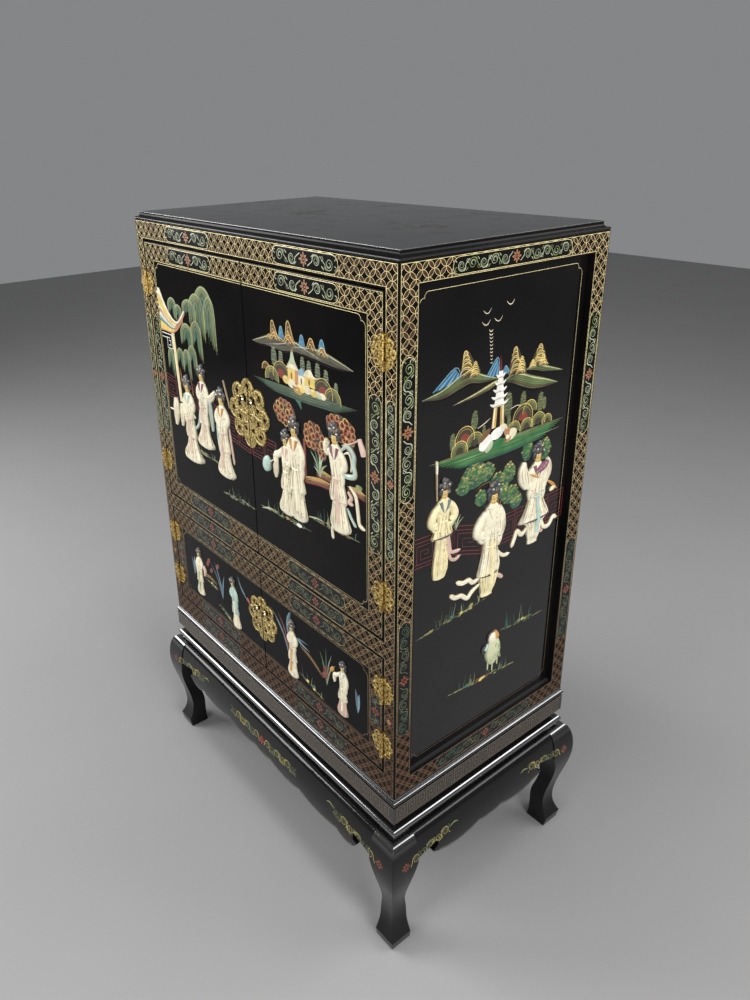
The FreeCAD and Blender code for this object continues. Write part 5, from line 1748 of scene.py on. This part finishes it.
figure((-21, 640), (-18, 812), skirt="yellow stone", panel="yellow stone", collar="stone", trim="dark hair",
       arms=("wide", "down"), girth=1.4, flare=0.1, sleeve=1.4, coat_hem=30.0, seed=13)
hanging_sleeve("stone", (10, 20, 18, 8), [(-2, 784), (4, 766), (4, 750), (-2, 734)])
ribbon("stone", 8.5, [(-36, 680), (-54, 676), (-64, 684), (-78, 684), (-93, 691)])
ribbon("stone", 8.5, [(-36, 668), (-56, 660), (-66, 652), (-80, 662), (-94, 664), (-106, 673)])
ribbon("stone", 7.0, [(-8, 722), (4, 708), (16, 699), (29, 698)])
ribbon("pink stone", 8.0, [(-4, 668), (6, 666), (17, 658)])
figure((87, 698), (83, 852), panel="aqua stone", collar="plum stone", trim="dark hair", arms=("hip", "down"),
       girth=1.5, flare=0.0, sweep=1.8, sleeve=1.2, coat_hem=38.0, seed=14)
shaped("stone", (12, 22, 24, 16), [(60, 826), (76, 828), (96, 830), (110, 830)], SLEEVE)
hanging_sleeve("stone", (9, 22, 26, 14), [(50, 852), (49, 838), (53, 822), (60, 806)])
hanging_sleeve("stone", (8, 14, 15, 8), [(108, 844), (113, 832), (113, 818), (109, 804)])
shaped("plum stone", (4, 11, 12, 5),
       [(76, 828, 5.6), (86, 833, 5.8), (97, 838, 5.6), (106, 840, 4.6)], DETAIL)
detail("amber", 3.6, [(62, 830, 5.6), (74, 823, 6.0), (88, 817, 6.0)])
ribbon("stone", 9.0, [(72, 732), (58, 722), (46, 732), (40, 720), (34, 706)])
ribbon("stone", 8.5, [(104, 738), (114, 718), (128, 716), (138, 728), (148, 724)])
ribbon("pink stone", 7.0, [(100, 730), (104, 716), (112, 710)])
shaped("amber", (3, 6, 6, 3), [(114, 802), (124, 796), (134, 788), (142, 780)], SKIRT)
dot("yellow stone", 8.0, (128, 784), SLEEVE, 1.8, 0.3)

CENSER = (5.0, 497.0)


def on_pot(u, v):
    return (CENSER[0] + u, CENSER[1] + v)


for foot, drop in ((-11, -13), (1, -20), (13, -12)):
    leg = [on_pot(foot, drop), on_pot(foot * 0.95, 0), on_pot(foot * 0.85, 12)]
    shaped("pale jade", (2.0, 4.0, 8.0), leg, COAT)
shaped("pale jade", (14, 32, 40, 38, 30, 22), [on_pot(0, v) for v in (-4, 6, 18, 30, 40, 46)], COAT)
shaped("stone", (20, 24, 20, 10), [on_pot(-3, v) for v in (43, 49, 55, 60)], SLEEVE)
shaped("amber", (10, 22, 20, 8), [on_pot(2, v) for v in (43, 48, 54, 61)], SLEEVE)
brush("dark hair", 2.6, arc_points(on_pot(-4, 50), 11.5, 80, 205, 8), SLEEVE, "both", 2)
brush("dark hair", 5.0, arc_points(on_pot(-19, 32), 8.0, 40, 235, 8), SLEEVE, "both", 2)
dot("aqua stone", 8.0, on_pot(-18, 36), SLEEVE, 1.6, 1.1)
pot_rng = random.Random(77)
for index in range(16):
    u, v = pot_rng.uniform(-13, 13), pot_rng.uniform(4, 38)
    detail(pot_rng.choice(("jade", "jade", "aqua stone", "fold")), pot_rng.uniform(1.6, 3.6),
           [(*on_pot(u, v), 5.4), (*on_pot(u + 2.0, v + 3.0), 5.4)], 2)
right_figures = carve("right_side_carved_figures", "cabinet", PICTURE, "right_side_figures")
left_figures = mirrored(right_figures, "left_side_carved_figures", "cabinet")
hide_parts("left_side_figures")

# %% [markdown]
# ## Ornament on the stand
# The aprons and knees are curved, so their painting can't lie in a flat plane. It is drawn flat first, like
# a stencil, and each point is then dropped along the view of the stencil until it meets the wood. The
# lower edge of an apron is found the same way, by halving between a height that meets wood and one that
# doesn't, and a fine line follows it. A few chips on the beads, where the lacquer has come off, are laid
# on with the same helper.

# %% Draping helper
from mathutils.bvhtree import BVHTree

CAST_REACH = 0.2


def faces_of(*nodes):
    """A search tree of the faces of some pieces of the construction."""
    spots, faces = [], []
    for node in nodes:
        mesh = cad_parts[node].data
        first = len(spots)
        spots += [vertex.co.copy() for vertex in mesh.vertices]
        faces += [[first + index for index in polygon.vertices] for polygon in mesh.polygons]
    return BVHTree.FromPolygons(spots, faces)


def meet(tree, surface, u, v):
    """Where a stencil's spot meets the wood, and the wood's outward direction there."""
    outward = (surface.to_3x3() @ Z_AXIS).normalized()
    spot = surface @ Vector((u, v, 0))
    hit, normal, index, distance = tree.ray_cast(spot + outward * CAST_REACH, -outward)
    return (hit, normal) if hit else (None, outward)


def paint_draped(name, body, surface, tree):
    """Makes the strokes so far into a film that follows curved wood."""
    piece = strokes_to_mesh(name, 0)
    press_flat(piece.data)
    for vertex in piece.data.vertices:
        hit, normal = meet(tree, surface, vertex.co.x, vertex.co.y)
        if hit is None:
            hit, normal, index, distance = tree.find_nearest(surface @ Vector((vertex.co.x, vertex.co.y, 0)))
        vertex.co = hit + normal * vertex.co.z * MM
    return settle(piece, Matrix.Identity(4), body, "lacquer")


def lower_edge(tree, surface, u, high, low):
    """The height at which the wood ends below a spot."""
    for step in range(14):
        middle = (high + low) / 2
        if meet(tree, surface, u, middle)[0]:
            high = middle
        else:
            low = middle
    return high


# %% Scrolls, edge lines and chips
KNEE_LEVEL = 199.0
STAND_SCROLL_HEIGHT = 11.0
EDGE_MARGIN = 3.0
STAND_LEAVES = ("straw", "olive", "moss", "straw")
APRON_TOP, APRON_BOTTOM = 236.0, 150.0


def stand_scroll(start, direction, length, rise):
    """A scroll that climbs along an apron, away from a flower."""
    def place(p):
        return (start[0] + direction * p[0], start[1] + rise * p[0] / length + p[1])

    scroll(place, length, STAND_SCROLL_HEIGHT, STAND_LEAVES, 2, 1.6)


def edge_line(tree, surface, reach):
    """A fine pale line just above an apron's lower edge."""
    count = int(reach / 4)
    path = []
    for k in range(-count, count + 1):
        u = reach * k / count
        path.append((u, lower_edge(tree, surface, u, APRON_TOP, APRON_BOTTOM) + EDGE_MARGIN))
    line("pewter", 0.8, path)


def chips(seed, reach, levels, count):
    """Small pale marks where the lacquer has chipped."""
    rng = random.Random(seed)
    for index in range(count):
        spot = (rng.uniform(-reach, reach), rng.choice(levels) + rng.uniform(-1.5, 1.5))
        colour, size = rng.choice(("grey", "ochre", "tan")), rng.uniform(0.6, 1.2)
        dot(colour, size, spot, 1, rng.uniform(1.0, 2.2), rng.uniform(0, 3))


front_stand = faces_of("apron_front", "leg_front_left", "leg_front_right")
flower((0, 206), 20.0, 3, "red", "rust")
for side in (-1, 1):
    stand_scroll((side * 11, 206), side, 104, 2)
    flower((side * 362, 198), 20.0, 3, "rust")
    stand_scroll((side * 348, KNEE_LEVEL), -side, 112, 12)
    brush("moss", 2.4, [(side * 235, 214), (side * 222, 219), (side * 212, 216)], 2)
paint_draped("front_stand_scrolls", "cabinet", FRONT, front_stand)
edge_line(faces_of("apron_front"), FRONT, 296.0)
paint_draped("front_apron_line", "cabinet", FRONT, faces_of("apron_front"))

right_stand = faces_of("apron_right", "leg_front_right", "leg_rear_right")
for side in (-1, 1):
    flower((side * 212, 198), 20.0, 3, "rust")
    stand_scroll((side * 198, KNEE_LEVEL), -side, 90, 12)
    brush("moss", 2.4, [(side * 106, 212), (side * 94, 216), (side * 84, 213)], 2)
on_both_sides("stand_scrolls", paint_draped, STILES, right_stand)
edge_line(faces_of("apron_right"), STILES, 146.0)
on_both_sides("apron_line", paint_draped, STILES, faces_of("apron_right"))

BEAD_LEVELS = (256.0, 322.0)
chips(61, 366.0, BEAD_LEVELS, 14)
paint_draped("front_chips", "cabinet", FRONT, faces_of("base_moulding_front", "stand_rail_front"))
chips(62, 212.0, BEAD_LEVELS, 9)
on_both_sides("chips", paint_draped, STILES, faces_of("base_moulding_right", "stand_rail_right"))

# %% [markdown]
# ## Worn sprays on the top
# The top once had two sprays in gold, now rubbed almost away. Thin strokes in a dull brown are enough.

# %% Sprays on the top
TOP = plane(X_AXIS, Y_AXIS, Z_AXIS, (0, 0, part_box("top_board")[1].z))
top_rng = random.Random(5)
for centre in ((-84.0, -16.0), (211.0, -20.0)):
    for index in range(22):
        angle, reach = top_rng.uniform(0, 2 * math.pi), top_rng.uniform(14, 44)
        tip = around(centre, reach, angle, reach * 0.7)
        bend = around(centre, reach * 0.5, angle + 0.3, reach * 0.4)
        brush("top wear", 1.0, [bend, tip], 1, "end")
        for lean in (-0.7, 0.7):
            brush("top wear", 2.8, [tip, around(tip, 8, angle + lean, 6)], 1, "leaf")
    flower(centre, 15.0, 2, "top wear", "top wear")
paint("top_sprays", "cabinet", TOP)

# %% [markdown]
# ## Tracery on the brass
# The lock plates and hinge leaves are cast with raised tracery: a rim round each lobe, and on the lock plates
# stalks and curls between the holes. The plates themselves are pierced solids. The tracery is thin round
# wire, sunk by half into the plate and bent to the same layout of lobes and holes.

# %% Brass tracery
PLATE_THICK = 0.0015
LOBES = 8
LOBE_PLACE, LOBE_RIM = 0.7, 0.255
WIRE_LIFT = 0.15
PLATES = Matrix.Translation((0, -PLATE_THICK, 0)) @ FRONT
HINGE_X, HINGE_RADIUS, KNUCKLE = 342.25, 25.0, 4.7
WINDOW_X, WINDOW_REACH, WINDOW_RISE = 13.3, 9.2, {"upper": 24.6, "lower": 20.5}
LOCKS = {"upper": (897.5, 62.0), "lower": (485.5, 48.5)}
HINGE_LEVELS = {"upper": (1073.0, 706.0), "lower": (535.0, 429.0)}


def wire(width, path, keep):
    """A raised wire along the parts of a path that lie on its plate."""
    runs = [[]]
    for u, v in path:
        if keep(u, v):
            runs[-1].append((u, v, WIRE_LIFT))
        else:
            runs.append([])
    for run in runs:
        if len(run) > 2:
            detail("brass", width, run, 2, "none")


def tracery(centre, radius, keep, curled=True):
    """Raised rims round the lobes; on the lock plates stalks and curls as well."""
    def at(share, degrees):
        return around(centre, radius * share, math.radians(degrees))

    for index in range(LOBES):
        turn = 360 / LOBES * index
        rim = arc_points(at(LOBE_PLACE, turn), radius * LOBE_RIM, turn - 105, turn + 105, 13)
        wire(radius * 0.026, rim, keep)
        if not curled:
            continue
        stalk = [at(share, turn + 6 * math.sin(share * 9)) for share in (0.1, 0.22, 0.34, 0.46, 0.56, 0.64)]
        wire(radius * 0.022, stalk, keep)
        for lean in (-1, 1):
            curl = spiral_points(at(0.62, turn + lean * 11), radius * 0.1, turn + 90 * lean, lean * 1.2, 10)
            wire(radius * 0.02, curl, keep)
    wire(radius * 0.024, arc_points(centre, radius * 0.3, 0, 350, 24), keep)


def brass_piece(name, body):
    piece = strokes_to_mesh(name, 1)
    press_relief(piece.data)
    settle(piece, PLATES, body, "brass")


for row, door, side in DOORS:
    level, radius = LOCKS[row]
    window = level + WINDOW_RISE[row]

    def on_plate(u, v):
        in_window = abs(side * u - WINDOW_X) < WINDOW_REACH and abs(v - window) < WINDOW_REACH
        return side * u > 2.4 and not in_window

    tracery((0, level), radius, on_plate)
    wire(2.6, [(side * 3.4, level - radius * share) for share in (0.12, 0.3, 0.5, 0.7, 0.86)], on_plate)
    for height in HINGE_LEVELS[row]:
        tracery((side * HINGE_X, height), HINGE_RADIUS, lambda u, v: side * u < HINGE_X - KNUCKLE, False)
    brass_piece(door + "_brass_tracery", door + "_door")
    for height in HINGE_LEVELS[row]:
        tracery((side * HINGE_X, height), HINGE_RADIUS, lambda u, v: side * u > HINGE_X + KNUCKLE, False)
    brass_piece(door + "_hinge_tracery", "cabinet")

# %% [markdown]
# ## Floor and light
# A plain pale floor carries the shadow. Five soft lamps light the cabinet: a long one overhead draws the
# bright lines on the beads and the shoulders of the legs, a wide one at the left is the main light, and
# those from the front, from behind at the right and from beside fill in.

# %% Floor and light
FLOOR_SIZE = 14.0
bpy.ops.mesh.primitive_plane_add(size=FLOOR_SIZE, location=(0, 0, 0))
floor = bpy.context.object
floor.name = "floor"
floor_material, floor_tree, floor_shader, floor_where = new_material("pale floor")
noise_values = {"Vector": floor_where, "Scale": 3.0, "Detail": 2.0}
floor_noise = add_node(floor_tree, "TexNoise", noise_values).outputs[0]
floor_colour = blend_colours(floor_tree, floor_noise, rgb(0.285, 0.28, 0.28), rgb(0.305, 0.30, 0.30))
feed_all(floor_tree, floor_shader, {"Base Color": floor_colour, "Roughness": 0.7})
floor.data.materials.append(floor_material)


def soft_lamp(name, at, aim, size, power):
    bpy.ops.object.light_add(type="AREA", location=at)
    lamp = bpy.context.object
    lamp.name = name
    lamp.data.shape = "RECTANGLE"
    lamp.data.size, lamp.data.size_y = size
    lamp.data.energy = power
    lamp.rotation_euler = (Vector(aim) - Vector(at)).to_track_quat("-Z", "Y").to_euler()


soft_lamp("overhead softbox", at=(0.25, -0.45, 3.3), aim=(0.1, -0.1, 0.4), size=(1.6, 0.36), power=34.0)
soft_lamp("left key", at=(-2.3, -2.0, 1.75), aim=(0, -0.1, 0.75), size=(1.8, 1.6), power=92.0)
soft_lamp("front fill", at=(0.5, -3.1, 1.5), aim=(0, 0, 0.75), size=(1.5, 1.4), power=30.0)
soft_lamp("right rim", at=(1.8, 1.85, 2.5), aim=(0.3, 0, 0.7), size=(2.0, 1.4), power=46.0)
soft_lamp("side fill", at=(3.0, -0.6, 1.5), aim=(0, 0, 0.8), size=(1.4, 1.4), power=62.0)
world = bpy.context.scene.world or bpy.data.worlds.new("World")
bpy.context.scene.world = world
world.use_nodes = True
sky = world.node_tree.nodes["Background"]
feed_all(world.node_tree, sky, {"Color": rgb(0.40, 0.41, 0.42), "Strength": 0.58})
print("floor and lamps set")
